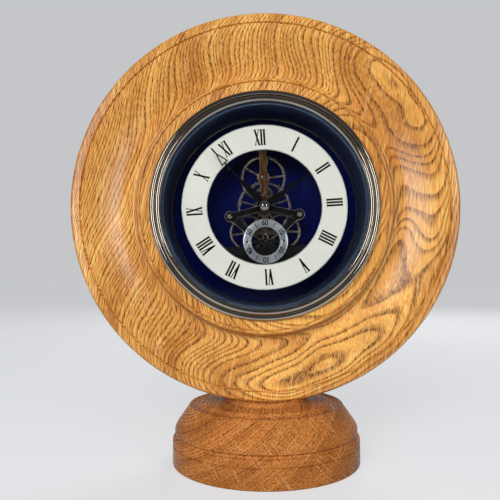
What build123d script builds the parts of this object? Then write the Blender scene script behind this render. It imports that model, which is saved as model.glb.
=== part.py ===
from build123d import *
from math import atan2, cos, degrees, hypot, radians, sin, sqrt
import os

os.makedirs("parts", exist_ok=True)

# A turned oak desk clock: a disc on a round base, with a skeleton clock insert pushed into its bore.
# Millimetres and degrees. X is right, the dial faces -Y, Z is up, and the base stands on Z = 0.
# A depth is counted backwards from the disc's front rim. A dial place is counted from the dial centre.

# Wood
DISC_RADIUS = 127.0
DISC_THICKNESS = 44.0
RIM_WIDTH = 6.6
RIM_ROUND = 2.0
VALLEY_DEPTH = 10.8
VALLEY_WALL = 3.2
VALLEY_SLOPE = 0.15
OGEE_DROP = 0.33
OGEE_SLOPE = 0.05
BEAD_WIDTH = 1.9
INNER_RING_WIDTH = 6.5
GROOVE_HALF = 0.6
GROOVE_DEPTH = 1.0
BASE_RADIUS = 62.5
FOOT_ROUND = 1.0
TIER_GROOVE_HEIGHT = 12.9
TIER_HEIGHT = 18.0
SHOULDER_ROUND = 2.2
CONE_RADIUS = 60.9
CONE_FOOT_HEIGHT = 20.4
CONE_STRAIGHT = 2.4
CONE_TOP_RADIUS = 51.1
CONE_TOP_HEIGHT = 38.2
CONE_SWELL = 0.55
CONE_FOOT_LEAN = 0.1
CONE_TOP_LEAN = 0.68
COVE_LIP = 1.0
COVE_INNER_RADIUS = 43.0
COVE_DEPTH = 1.2
STEP_ROUND = 1.8
PAD_RADIUS = 28.0
SEAT_HEIGHT = 42.5
DOWEL_RADIUS = 6.0
DOWEL_LENGTH = 50.0
DOWEL_CHAMFER = 1.0

# Insert case
INSERT_TURN = 1.4
BEZEL_RADIUS = 75.0
BEZEL_WALL = 1.95
BEZEL_RISE = 3.4
BEZEL_BEAD_RISE = 5.0
BEZEL_EDGE_RISE = 1.1
BEZEL_LINE_RISE = 2.25
BEZEL_LIP_RISE = 3.8
LIP_RADIUS = 67.3
LENS_RADIUS = 69.0
LENS_THICKNESS = 1.6
LENS_CROWN = 1.3
LENS_LAND = 1.0
CAN_RADIUS = 66.7
CAN_WALL = 1.0
FLANGE_THICKNESS = 1.0
BAND_THICKNESS = 1.6
BAND_DEPTH = 6.0
BAND_WIDTH = 20.0
PLATE_DEPTH = 38.2
PLATE_THICKNESS = 2.0

# Dial and hands
CHAPTER_OUTER_RADIUS = 55.3
CHAPTER_INNER_RADIUS = 38.3
CHAPTER_DEPTH = 11.1
CHAPTER_THICKNESS = 1.0
POST_RADIUS = 2.0
POST_ANGLES = (50.0, 130.0, 195.0, 345.0)
SECONDS_DROP = 23.0
SECONDS_OUTER_RADIUS = 14.8
SECONDS_INNER_RADIUS = 9.6
SECONDS_RING_THICKNESS = 0.8
RING_SCREW_RADIUS = 0.8
HAND_THICKNESS = 0.6
HAND_GAP = 0.6
MINUTE_ANGLE = 319.0
MINUTE_LENGTH = 52.0
MINUTE_LEAF_WIDEST = 14.6
MINUTE_LEAF_END = 23.9
MINUTE_LEAF_HALF = 2.0
MINUTE_STEM_WIDTH = 0.9
CROSS_SPAN = 4.6
CROSS_KNOT_RADIUS = 1.3
CROSS_SETBACK = 5.2
SPEAR_LENGTH = 13.5
SPEAR_HALF = 2.35
SPEAR_STROKE = 0.8
NEEDLE_LENGTH = 5.2
NEEDLE_HALF = 0.5
HOUR_ANGLE = 56.6
HOUR_LENGTH = 36.0
HOUR_LEAF_WIDEST = 10.8
HOUR_LEAF_END = 18.7
HOUR_LEAF_HALF = 2.2
HOUR_STEM_WIDTH = 1.0
SCROLL_SETBACK = 13.0
SCROLL_SPREAD = 2.0
SCROLL_RADIUS = 1.55
SCROLL_EYE_RADIUS = 0.75
SCROLL_STROKE = 0.7
HOUR_POINT_LENGTH = 10.8
HOUR_POINT_HALF = 0.75
SECONDS_ANGLE = 180.0
SECONDS_HAND_LENGTH = 8.6
SECONDS_TAIL_LENGTH = 3.9
SECONDS_TAIL_HALF = 0.8
SECONDS_MIDDLE_HALF = 0.6
SECONDS_BOSS_RADIUS = 1.5
HAND_ROOT_HALF = 1.1
HAND_TIP_HALF = 0.3
HAND_BOSS_RADIUS = 3.3
DOME_RADIUS = 3.7
DOME_HEIGHT = 3.0
DOME_SOCKET = 1.5
KNOB_RADIUS = 6.0
KNOB_THICKNESS = 2.8
KNOB_FLUTES = 18
FLUTE_RADIUS = 0.96
FLUTE_DEPTH = 0.36

# Movement frame
BRIDGE_THICKNESS = 2.0
BRIDGE_ROUND = 0.25
BRIDGE_EYE_RADIUS = 3.6
CROSS_BAR_WIDTH = 1.9
ARM_LANDING_ANGLE = 29.0
BAR_THICKNESS = 2.0
BAR_WIDTH = 4.7
BAR_TOP = 42.6
BOSS_RADIUS = 4.0
REAR_FRAME_THICKNESS = 2.0
REAR_EYE_MARGIN = 1.3
PILLAR_SPREAD = 23.0
PILLAR_DROP = 5.7
PILLAR_RADIUS = 2.0
SPIGOT_RADIUS = 1.2
BALL_RADIUS = 2.2
BALL_RISE = 4.5
BALL_NECK_RADIUS = 2.1
BALL_NECK_HEIGHT = 1.3
ARM_WIDTH = 3.8
SCREW_RADIUS = 1.0
SCREW_HEAD_RADIUS = 2.2
SCREW_HEAD_THICKNESS = 1.2
SCREW_GRIP = 5.0
SLOT_WIDTH = 0.5
SLOT_DEPTH = 0.6

# Wheel train
WHEEL_THICKNESS = 0.8
LAYER_GAP = 0.5
PINION_OVERHANG = 0.2
CENTRE_TEETH = 64
CENTRE_MODULE = 0.56
LEAVES = 8
TRAIN_TEETH = 60
TRAIN_MODULE = 0.4
ROTOR_LEAVES = 15
ROTOR_DIRECTION = -75.0
TOP_TEETH = 54
CANNON_LEAVES = 12
MOTION_TEETH = 36
MOTION_MODULE = 0.35
MOTION_LEAVES = 10
HOUR_TEETH = 40
ADDENDUM = 0.75
DEDENDUM = 1.05
TIP_SHARE = 0.2
ROOT_SHARE = 0.44
RIM_BAND = 1.9
HUB_RADIUS = 2.6
SPOKE_WIDTH = 1.3
SPOKES = 5
MINUTE_ARBOR_RADIUS = 1.0
ARBOR_RADIUS = 0.8
PIVOT_RADIUS = 0.5
HOUR_PIPE_RADIUS = 1.9
STUD_RADIUS = 0.6
STUD_HEAD_RADIUS = 1.2
STUD_HEAD_THICKNESS = 0.3
PIVOT_CAP_RADIUS = 1.5
PIVOT_CAP_RISE = 0.75
PIVOT_CAP_ROUND = 0.5

# Drive unit
HOUSING_RADIUS = 52.0
HOUSING_TOP = -26.0
HOUSING_WALL = 1.2
HOUSING_SCREW_DROP = 5.0
HOUSING_SCREW_INSET = 2.8
BATTERY_RADIUS = 7.2
BATTERY_LENGTH = 49.5
BATTERY_DROP = 36.0
NUB_RADIUS = 2.7
NUB_LENGTH = 1.0
CONTACT_THICKNESS = 0.4
CONTACT_SIZE = 9.0
MAGNET_RADIUS = 2.2
MAGNET_THICKNESS = 1.8
STATOR_THICKNESS = 1.2
STATOR_GAP = 0.4
STATOR_MARGIN = 0.8
STATOR_WIDTH = 19.0
STATOR_LEG = 3.4
COIL_RADIUS = 2.4
COIL_DROP = 38.4
CORE_HALF = 0.6
BOARD_WIDTH = 20.0
BOARD_HEIGHT = 9.0
BOARD_THICKNESS = 1.0
BOARD_CENTRE = (-23.5, -33.2)
CRYSTAL_RADIUS = 1.0
CRYSTAL_LENGTH = 6.0
CRYSTAL_SETBACK = 6.7
CHIP_RADIUS = 1.8
CHIP_THICKNESS = 0.5

# Clearances
RUNNING_FIT = 0.05
SNUG_FIT = 0.02
SEAT_GAP = 0.05
END_PLAY = 0.3
WINDOW_MARGIN = 0.8

# Places that follow from the sizes above
front_y = -DISC_THICKNESS / 2
dial_z = SEAT_HEIGHT + DISC_RADIUS
bore_radius = CAN_RADIUS + BAND_THICKNESS + 2 * SEAT_GAP
chapter_back = CHAPTER_DEPTH + CHAPTER_THICKNESS
bar_front = chapter_back + 2 * SEAT_GAP
bar_back = bar_front + BAR_THICKNESS
bridge_front = bar_front - BRIDGE_THICKNESS
seconds_ring_front = bridge_front - SECONDS_RING_THICKNESS
seconds_hand_back = seconds_ring_front - HAND_GAP
ball_front = bridge_front - BALL_RISE
hour_hand_back = min(seconds_hand_back - HAND_THICKNESS, ball_front) - HAND_GAP
minute_hand_back = hour_hand_back - HAND_THICKNESS - HAND_GAP
dome_back = minute_hand_back - HAND_THICKNESS
hour_wheel_back = bar_back + LAYER_GAP + WHEEL_THICKNESS
motion_wheel_back = hour_wheel_back + LAYER_GAP + WHEEL_THICKNESS
stud_end = motion_wheel_back + RUNNING_FIT + STUD_HEAD_THICKNESS
top_wheel_back = stud_end + LAYER_GAP + WHEEL_THICKNESS
centre_wheel_back = top_wheel_back + LAYER_GAP + WHEEL_THICKNESS
third_wheel_back = centre_wheel_back + LAYER_GAP + WHEEL_THICKNESS
seconds_wheel_back = third_wheel_back + LAYER_GAP + WHEEL_THICKNESS
rear_frame_front = seconds_wheel_back + LAYER_GAP
rear_frame_back = rear_frame_front + REAR_FRAME_THICKNESS
housing_front = chapter_back + END_PLAY
chamber_front = housing_front + HOUSING_WALL
partition_front = seconds_wheel_back + LAYER_GAP
partition_back = partition_front + HOUSING_WALL
battery_depth = partition_back + END_PLAY + BATTERY_RADIUS
plate_back = PLATE_DEPTH + PLATE_THICKNESS
knob_front = plate_back + END_PLAY
can_inner_radius = CAN_RADIUS - CAN_WALL

# Train centres: the third and intermediate arbors stand left and right of the line down to the seconds arbor
centre_distance = (CENTRE_TEETH + LEAVES) * CENTRE_MODULE / 2
train_distance = (TRAIN_TEETH + LEAVES) * TRAIN_MODULE / 2
rotor_distance = (TRAIN_TEETH + ROTOR_LEAVES) * TRAIN_MODULE / 2
motion_distance = (CANNON_LEAVES + MOTION_TEETH) * MOTION_MODULE / 2
hour_module = 2 * motion_distance / (HOUR_TEETH + MOTION_LEAVES)
arbor_drop = (centre_distance**2 - train_distance**2 + SECONDS_DROP**2) / (2 * SECONDS_DROP)
arbor_spread = sqrt(centre_distance**2 - arbor_drop**2)
third_place = (-arbor_spread, -arbor_drop)
intermediate_place = (arbor_spread, -arbor_drop)
seconds_place = (0.0, -SECONDS_DROP)
top_place = (0.0, centre_distance)
motion_place = (0.0, motion_distance)
rotor_place = (
    arbor_spread + rotor_distance * cos(radians(ROTOR_DIRECTION)),
    -arbor_drop + rotor_distance * sin(radians(ROTOR_DIRECTION)),
)
pillar_places = ((-PILLAR_SPREAD, -PILLAR_DROP), (PILLAR_SPREAD, -PILLAR_DROP))
top_pillar_place = (0.0, BAR_TOP - BAR_WIDTH / 2)
post_middle = (CHAPTER_OUTER_RADIUS + CHAPTER_INNER_RADIUS) / 2
post_places = [(post_middle * cos(radians(a)), post_middle * sin(radians(a))) for a in POST_ANGLES]
ring_screw_middle = (SECONDS_OUTER_RADIUS + SECONDS_INNER_RADIUS) / 2
ring_screw_places = ((-ring_screw_middle, -SECONDS_DROP), (ring_screw_middle, -SECONDS_DROP))


def dial_plane(depth, place=(0.0, 0.0), turn=0.0):
    """A plane that faces the viewer at a depth and a dial place, turned anticlockwise with the insert."""
    tilt = radians(INSERT_TURN)
    facing = radians(INSERT_TURN + turn)
    across, up = place
    right = across * cos(tilt) - up * sin(tilt)
    height = across * sin(tilt) + up * cos(tilt)
    return Plane(
        origin=(right, front_y + depth, dial_z + height),
        x_dir=(cos(facing), 0, sin(facing)),
        z_dir=(0, -1, 0),
    )


# Radius along the plane's x and depth along its y, for what is turned about the dial's axis
turning_plane = Plane(origin=(0, front_y, dial_z), x_dir=(1, 0, 0), z_dir=(0, 0, 1))
dial_axis = Axis((0, front_y, dial_z), (0, 1, 0))


def finish(piece, name):
    """Names a finished piece and writes its file."""
    piece.part.label = name
    export_step(piece.part, f"parts/{name}.step")


def strap(start, end, width):
    """A flat strap with round ends between two places."""
    middle = ((start[0] + end[0]) / 2, (start[1] + end[1]) / 2)
    length = hypot(end[0] - start[0], end[1] - start[1])
    angle = degrees(atan2(end[1] - start[1], end[0] - start[0]))
    with BuildSketch() as outline:
        with Locations(middle):
            SlotCenterToCenter(length, width, rotation=angle)
    return outline.sketch


def leaf(foot, widest, tip):
    """A leaf-shaped length of a hand that points along +Y. Each place is a half width and a height."""
    left = [(-half, height) for half, height in (foot, widest, tip)]
    with BuildSketch() as outline:
        with BuildLine():
            ThreePointArc(*left)
            Line(left[2], tip)
            ThreePointArc(tip, widest, foot)
            Line(foot, left[0])
        make_face()
    return outline.sketch


def segment(radius, top):
    """A disc cut off level at a height, with the part below kept."""
    with BuildSketch() as outline:
        Circle(radius)
        with Locations((0, top)):
            Rectangle(2 * radius, 2 * radius, align=(Align.CENTER, Align.MIN), mode=Mode.SUBTRACT)
    return outline.sketch


def toothed(teeth, module, first_tooth):
    """A gear's outline with straight-sided teeth, thinned for backlash, with one at first_tooth degrees."""
    pitch_radius = teeth * module / 2
    tip = pitch_radius + ADDENDUM * module
    root = pitch_radius - DEDENDUM * module
    pitch = 360 / teeth
    flanks = ((root, -ROOT_SHARE / 2), (tip, -TIP_SHARE / 2), (tip, TIP_SHARE / 2), (root, ROOT_SHARE / 2))
    points = []
    for tooth in range(teeth):
        for radius, share in flanks:
            angle = radians(first_tooth + (tooth + share) * pitch)
            points.append((radius * cos(angle), radius * sin(angle)))
    with BuildSketch() as outline:
        with BuildLine():
            Polyline(*points, close=True)
        make_face()
    return outline.sketch


def windows(inner, outer, turn):
    """The openings between a wheel's spokes."""
    with BuildSketch() as outline:
        Circle(outer)
        Circle(inner, mode=Mode.SUBTRACT)
        with PolarLocations(outer / 2, SPOKES, start_angle=turn):
            Rectangle(outer, SPOKE_WIDTH, mode=Mode.SUBTRACT)
    return outline.sketch


def meshed(first_tooth, teeth, line, leaves):
    """Where a pinion's first leaf is, to mesh with a wheel whose other centre lies along line."""
    pitch = 360 / teeth
    offset = (first_tooth - line + pitch / 2) % pitch - pitch / 2
    return line + 180 - offset * teeth / leaves + 180 / leaves


def direction(start, end):
    """The angle from one dial place to another."""
    return degrees(atan2(end[1] - start[1], end[0] - start[0]))


def spoked_wheel(name, back, place, teeth, module, first_tooth, bore):
    """A thin brass wheel with spokes."""
    rim = teeth * module / 2 - DEDENDUM * module - RIM_BAND / 2
    with BuildPart() as wheel:
        with BuildSketch(dial_plane(back, place)):
            add(toothed(teeth, module, first_tooth))
            add(windows(HUB_RADIUS, rim, first_tooth), mode=Mode.SUBTRACT)
            Circle(bore, mode=Mode.SUBTRACT)
        extrude(amount=WHEEL_THICKNESS)
    finish(wheel, name)


def leaved_arbor(name, place, front, back, pivots, pinion_back, leaves, module, first_leaf):
    """A steel arbor cut with a pinion, with a slimmer pivot at each end."""
    with BuildPart() as arbor:
        with BuildSketch(dial_plane(pivots[1], place)):
            Circle(PIVOT_RADIUS)
        extrude(amount=pivots[1] - pivots[0])
        with BuildSketch(dial_plane(back, place)):
            Circle(ARBOR_RADIUS)
        extrude(amount=back - front)
        with BuildSketch(dial_plane(pinion_back + PINION_OVERHANG, place)):
            add(toothed(leaves, module, first_leaf))
        extrude(amount=WHEEL_THICKNESS + 2 * PINION_OVERHANG)
    finish(arbor, name)


# Oak disc, turned to an ogee between a grooved rim and a flat ring round the bezel
inner_groove = BEZEL_RADIUS + INNER_RING_WIDTH
bead_edge = inner_groove + GROOVE_HALF + BEAD_WIDTH
valley_radius = bead_edge + VALLEY_WALL
rim_groove = DISC_RADIUS - RIM_WIDTH
ogee_edge = rim_groove - GROOVE_HALF
ogee_middle = (valley_radius + ogee_edge) / 2
dowel_bottom = SEAT_HEIGHT - DOWEL_LENGTH / 2
with BuildPart() as oak_disc:
    with BuildSketch(turning_plane):
        with BuildLine():
            Polyline(
                (bore_radius, DISC_THICKNESS),
                (bore_radius, 0),
                (inner_groove - GROOVE_HALF, 0),
                (inner_groove, GROOVE_DEPTH),
                (inner_groove + GROOVE_HALF, 0),
            )
            RadiusArc((inner_groove + GROOVE_HALF, 0), (bead_edge, BEAD_WIDTH), -BEAD_WIDTH)
            Spline(
                (bead_edge, BEAD_WIDTH),
                (valley_radius, VALLEY_DEPTH),
                tangents=[(0, 1), (1, VALLEY_SLOPE)],
            )
            Spline(
                (valley_radius, VALLEY_DEPTH),
                (ogee_middle, VALLEY_DEPTH / 2),
                (ogee_edge, OGEE_DROP),
                tangents=[(1, VALLEY_SLOPE), (1, -OGEE_SLOPE)],
            )
            Polyline(
                (ogee_edge, OGEE_DROP),
                (rim_groove, GROOVE_DEPTH),
                (rim_groove + GROOVE_HALF, 0),
                (DISC_RADIUS - RIM_ROUND, 0),
            )
            RadiusArc((DISC_RADIUS - RIM_ROUND, 0), (DISC_RADIUS, RIM_ROUND), -RIM_ROUND)
            Line((DISC_RADIUS, RIM_ROUND), (DISC_RADIUS, DISC_THICKNESS - RIM_ROUND))
            RadiusArc(
                (DISC_RADIUS, DISC_THICKNESS - RIM_ROUND),
                (DISC_RADIUS - RIM_ROUND, DISC_THICKNESS),
                -RIM_ROUND,
            )
            Line((DISC_RADIUS - RIM_ROUND, DISC_THICKNESS), (bore_radius, DISC_THICKNESS))
        make_face()
    revolve(axis=dial_axis)
    with BuildSketch(Plane.XY.offset(SEAT_HEIGHT - RIM_ROUND)):
        Circle(DOWEL_RADIUS + SNUG_FIT)
    extrude(amount=DOWEL_LENGTH / 2 + RIM_ROUND + END_PLAY, mode=Mode.SUBTRACT)
finish(oak_disc, "oak_disc")

# Oak base, two grooved tiers under a cone with a coved top and a saddle that takes the disc
cove_outer = CONE_TOP_RADIUS - COVE_LIP
step_foot = COVE_INNER_RADIUS - STEP_ROUND
pad_top = SEAT_HEIGHT + DISC_RADIUS - sqrt(DISC_RADIUS**2 - PAD_RADIUS**2) + STEP_ROUND
cone_waist = (CONE_TOP_RADIUS + CONE_RADIUS) / 2 + CONE_SWELL
cone_middle = (CONE_FOOT_HEIGHT + CONE_STRAIGHT + CONE_TOP_HEIGHT) / 2
with BuildPart() as oak_base:
    with BuildSketch(Plane.XZ):
        with BuildLine():
            Polyline((0, pad_top), (0, 0), (BASE_RADIUS - FOOT_ROUND, 0))
            RadiusArc((BASE_RADIUS - FOOT_ROUND, 0), (BASE_RADIUS, FOOT_ROUND), -FOOT_ROUND)
            Polyline(
                (BASE_RADIUS, FOOT_ROUND),
                (BASE_RADIUS, TIER_GROOVE_HEIGHT - GROOVE_HALF),
                (BASE_RADIUS - GROOVE_DEPTH, TIER_GROOVE_HEIGHT),
                (BASE_RADIUS, TIER_GROOVE_HEIGHT + GROOVE_HALF),
                (BASE_RADIUS, TIER_HEIGHT - SHOULDER_ROUND),
            )
            RadiusArc(
                (BASE_RADIUS, TIER_HEIGHT - SHOULDER_ROUND),
                (BASE_RADIUS - SHOULDER_ROUND, TIER_HEIGHT),
                -SHOULDER_ROUND,
            )
            Polyline(
                (BASE_RADIUS - SHOULDER_ROUND, TIER_HEIGHT),
                (CONE_RADIUS - GROOVE_DEPTH, (TIER_HEIGHT + CONE_FOOT_HEIGHT) / 2),
                (CONE_RADIUS, CONE_FOOT_HEIGHT),
                (CONE_RADIUS, CONE_FOOT_HEIGHT + CONE_STRAIGHT),
            )
            Spline(
                (CONE_RADIUS, CONE_FOOT_HEIGHT + CONE_STRAIGHT),
                (cone_waist, cone_middle),
                (CONE_TOP_RADIUS, CONE_TOP_HEIGHT),
                tangents=[(-CONE_FOOT_LEAN, 1), (-CONE_TOP_LEAN, 1)],
            )
            Line((CONE_TOP_RADIUS, CONE_TOP_HEIGHT), (cove_outer, CONE_TOP_HEIGHT))
            ThreePointArc(
                (cove_outer, CONE_TOP_HEIGHT),
                ((cove_outer + COVE_INNER_RADIUS) / 2, CONE_TOP_HEIGHT - COVE_DEPTH),
                (COVE_INNER_RADIUS, CONE_TOP_HEIGHT),
            )
            RadiusArc(
                (COVE_INNER_RADIUS, CONE_TOP_HEIGHT),
                (step_foot, CONE_TOP_HEIGHT + STEP_ROUND),
                -STEP_ROUND,
            )
            Polyline(
                (step_foot, CONE_TOP_HEIGHT + STEP_ROUND),
                (PAD_RADIUS, CONE_TOP_HEIGHT + STEP_ROUND),
                (PAD_RADIUS, pad_top),
                (0, pad_top),
            )
        make_face()
    revolve(axis=Axis.Z)
    with BuildSketch(Plane(origin=(0, 0, dial_z), x_dir=(1, 0, 0), z_dir=(0, -1, 0))):
        Circle(DISC_RADIUS + SEAT_GAP)
    extrude(amount=BASE_RADIUS, both=True, mode=Mode.SUBTRACT)
    with BuildSketch(Plane.XY.offset(dowel_bottom - END_PLAY)):
        Circle(DOWEL_RADIUS + SNUG_FIT)
    extrude(amount=DOWEL_LENGTH, mode=Mode.SUBTRACT)
finish(oak_base, "oak_base")

# Hidden dowel that joins the two
with BuildPart() as joint_dowel:
    with BuildSketch(Plane.XY.offset(dowel_bottom)):
        Circle(DOWEL_RADIUS)
    extrude(amount=DOWEL_LENGTH)
    chamfer(joint_dowel.edges().filter_by(GeomType.CIRCLE), DOWEL_CHAMFER)
finish(joint_dowel, "joint_dowel")

# Bezel: a chromed ring with an outer roll, a fine line and an inner bead that laps the lens
bezel_inner = BEZEL_RADIUS - BEZEL_WALL
shelf_depth = -FLANGE_THICKNESS - SEAT_GAP
lip_depth = -FLANGE_THICKNESS - LENS_THICKNESS - SEAT_GAP
line_radius = (BEZEL_RADIUS + LIP_RADIUS) / 2
with BuildPart() as bezel:
    with BuildSketch(turning_plane):
        with BuildLine():
            Line((BEZEL_RADIUS, 0), (BEZEL_RADIUS, -BEZEL_EDGE_RISE))
            ThreePointArc(
                (BEZEL_RADIUS, -BEZEL_EDGE_RISE),
                ((BEZEL_RADIUS + line_radius) / 2, -BEZEL_RISE),
                (line_radius, -BEZEL_LINE_RISE),
            )
            ThreePointArc(
                (line_radius, -BEZEL_LINE_RISE),
                ((LIP_RADIUS + line_radius) / 2, -BEZEL_BEAD_RISE),
                (LIP_RADIUS, -BEZEL_LIP_RISE),
            )
            Polyline(
                (LIP_RADIUS, -BEZEL_LIP_RISE),
                (LIP_RADIUS, lip_depth),
                (LENS_RADIUS + SEAT_GAP, lip_depth),
                (LENS_RADIUS + SEAT_GAP, shelf_depth),
                (bezel_inner, shelf_depth),
                (bezel_inner, 0),
                (BEZEL_RADIUS, 0),
            )
        make_face()
    revolve(axis=dial_axis)
finish(bezel, "bezel")

# Lens, flat under the bezel's lip and crowned inside it
lens_front = -FLANGE_THICKNESS - LENS_THICKNESS
crown_radius = LIP_RADIUS - LENS_LAND
with BuildPart() as lens:
    with BuildSketch(turning_plane):
        with BuildLine():
            Line((0, -FLANGE_THICKNESS - LENS_CROWN), (0, lens_front - LENS_CROWN))
            TangentArc((0, lens_front - LENS_CROWN), (crown_radius, lens_front), tangent=(1, 0))
            Polyline(
                (crown_radius, lens_front),
                (LENS_RADIUS, lens_front),
                (LENS_RADIUS, -FLANGE_THICKNESS),
                (crown_radius, -FLANGE_THICKNESS),
            )
            TangentArc(
                (0, -FLANGE_THICKNESS - LENS_CROWN),
                (crown_radius, -FLANGE_THICKNESS),
                tangent=(1, 0),
            )
        make_face()
    revolve(axis=dial_axis)
finish(lens, "lens")

# Can: the insert's tube, with a flange that seats on the wood
with BuildPart() as insert_can:
    with BuildSketch(turning_plane):
        with BuildLine():
            Polyline(
                (can_inner_radius, -FLANGE_THICKNESS),
                (bezel_inner - SEAT_GAP, -FLANGE_THICKNESS),
                (bezel_inner - SEAT_GAP, 0),
                (CAN_RADIUS, 0),
                (CAN_RADIUS, plate_back),
                (can_inner_radius, plate_back),
                close=True,
            )
        make_face()
    revolve(axis=dial_axis)
finish(insert_can, "insert_can")

# Rubber band that grips the bore
with BuildPart() as grip_band:
    with BuildSketch(dial_plane(BAND_DEPTH + BAND_WIDTH)):
        Circle(CAN_RADIUS + SEAT_GAP + BAND_THICKNESS)
        Circle(CAN_RADIUS + SEAT_GAP, mode=Mode.SUBTRACT)
    extrude(amount=BAND_WIDTH)
finish(grip_band, "grip_band")

# Back plate, with a window over the battery
window_width = BATTERY_LENGTH + NUB_LENGTH + 2 * WINDOW_MARGIN
window_height = 2 * (BATTERY_RADIUS + WINDOW_MARGIN)
inner_radius = HOUSING_RADIUS - HOUSING_WALL
housing_screw_height = HOUSING_TOP - HOUSING_SCREW_DROP
housing_screw_spread = sqrt(inner_radius**2 - housing_screw_height**2) - HOUSING_SCREW_INSET
housing_screw_places = (
    (-housing_screw_spread, housing_screw_height),
    (housing_screw_spread, housing_screw_height),
)
rear_screw_places = [*pillar_places, top_pillar_place, *post_places, *housing_screw_places]
with BuildPart() as back_plate:
    with BuildSketch(dial_plane(plate_back)):
        Circle(can_inner_radius - SEAT_GAP)
        Circle(MINUTE_ARBOR_RADIUS + END_PLAY, mode=Mode.SUBTRACT)
        with Locations((0, -BATTERY_DROP)):
            Rectangle(window_width, window_height, mode=Mode.SUBTRACT)
        with Locations(*rear_screw_places):
            Circle(SCREW_RADIUS + SNUG_FIT, mode=Mode.SUBTRACT)
    extrude(amount=PLATE_THICKNESS)
finish(back_plate, "back_plate")

# Screws that hold the pillars, the posts and the housing to the plate
with BuildPart() as rear_screws:
    for place in rear_screw_places:
        with BuildSketch(dial_plane(plate_back + SCREW_HEAD_THICKNESS, place)):
            Circle(SCREW_HEAD_RADIUS)
        extrude(amount=SCREW_HEAD_THICKNESS)
        with BuildSketch(dial_plane(plate_back, place)):
            Circle(SCREW_RADIUS)
        extrude(amount=PLATE_THICKNESS + SCREW_GRIP)
        with BuildSketch(dial_plane(plate_back + SCREW_HEAD_THICKNESS, place)):
            Rectangle(2 * SCREW_HEAD_RADIUS, SLOT_WIDTH)
        extrude(amount=SLOT_DEPTH, mode=Mode.SUBTRACT)
finish(rear_screws, "rear_screws")

# Chapter ring and the posts behind it
with BuildPart() as chapter_ring:
    with BuildSketch(dial_plane(chapter_back)):
        Circle(CHAPTER_OUTER_RADIUS)
        Circle(CHAPTER_INNER_RADIUS, mode=Mode.SUBTRACT)
    extrude(amount=CHAPTER_THICKNESS)
finish(chapter_ring, "chapter_ring")

with BuildPart() as chapter_posts:
    with BuildSketch(dial_plane(PLATE_DEPTH)):
        with Locations(*post_places):
            Circle(POST_RADIUS)
    extrude(amount=PLATE_DEPTH - chapter_back)
    with BuildSketch(dial_plane(PLATE_DEPTH)):
        with Locations(*post_places):
            Circle(SCREW_RADIUS + SNUG_FIT)
    extrude(amount=SCREW_GRIP + END_PLAY, mode=Mode.SUBTRACT)
finish(chapter_posts, "chapter_posts")

# Bridge: two arms out to the pillars, two back in to a ring that carries the seconds dial
landing_spread = ring_screw_middle * cos(radians(ARM_LANDING_ANGLE))
landing_height = ring_screw_middle * sin(radians(ARM_LANDING_ANGLE)) - SECONDS_DROP
with BuildPart() as bridge:
    with BuildSketch(dial_plane(bar_front)):
        Circle(BOSS_RADIUS)
        with Locations(seconds_place):
            Circle(SECONDS_OUTER_RADIUS)
            Circle(SECONDS_INNER_RADIUS, mode=Mode.SUBTRACT)
        add(strap(ring_screw_places[0], ring_screw_places[1], CROSS_BAR_WIDTH))
        with Locations(seconds_place):
            Circle(ARM_WIDTH / 2)
        for place, landing in zip(pillar_places, (-landing_spread, landing_spread)):
            add(strap((0, 0), place, ARM_WIDTH))
            add(strap(place, (landing, landing_height), ARM_WIDTH))
            with Locations(place):
                Circle(BRIDGE_EYE_RADIUS)
        Circle(HOUR_PIPE_RADIUS + RUNNING_FIT, mode=Mode.SUBTRACT)
        with Locations(third_place, intermediate_place, seconds_place):
            Circle(PIVOT_RADIUS + RUNNING_FIT, mode=Mode.SUBTRACT)
        with Locations(*pillar_places):
            Circle(SPIGOT_RADIUS + SNUG_FIT, mode=Mode.SUBTRACT)
        with Locations(*ring_screw_places):
            Circle(RING_SCREW_RADIUS + SNUG_FIT, mode=Mode.SUBTRACT)
    extrude(amount=BRIDGE_THICKNESS)
    fillet(bridge.faces().sort_by(Axis.Y)[0].outer_wire().edges(), BRIDGE_ROUND)
finish(bridge, "bridge")

# Bar that runs up from the bridge to behind the chapter ring
with BuildPart() as top_bar:
    with BuildSketch(dial_plane(bar_back)):
        Circle(BOSS_RADIUS)
        with Locations((0, BAR_TOP / 2)):
            Rectangle(BAR_WIDTH, BAR_TOP)
        with Locations(top_place):
            Circle(BOSS_RADIUS)
        Circle(HOUR_PIPE_RADIUS + RUNNING_FIT, mode=Mode.SUBTRACT)
        with Locations(top_place):
            Circle(PIVOT_RADIUS + RUNNING_FIT, mode=Mode.SUBTRACT)
        with Locations(motion_place):
            Circle(STUD_RADIUS + SNUG_FIT, mode=Mode.SUBTRACT)
        with Locations(top_pillar_place):
            Circle(SPIGOT_RADIUS + SNUG_FIT, mode=Mode.SUBTRACT)
    extrude(amount=BAR_THICKNESS)
finish(top_bar, "top_bar")

# Polished cap over the top arbor's front pivot
with BuildPart() as pivot_cap:
    with BuildSketch(dial_plane(bar_front, top_place)):
        Circle(PIVOT_CAP_RADIUS)
    extrude(amount=PIVOT_CAP_RISE)
    fillet(pivot_cap.faces().sort_by(Axis.Y)[0].edges(), PIVOT_CAP_ROUND)
finish(pivot_cap, "pivot_cap")

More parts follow.
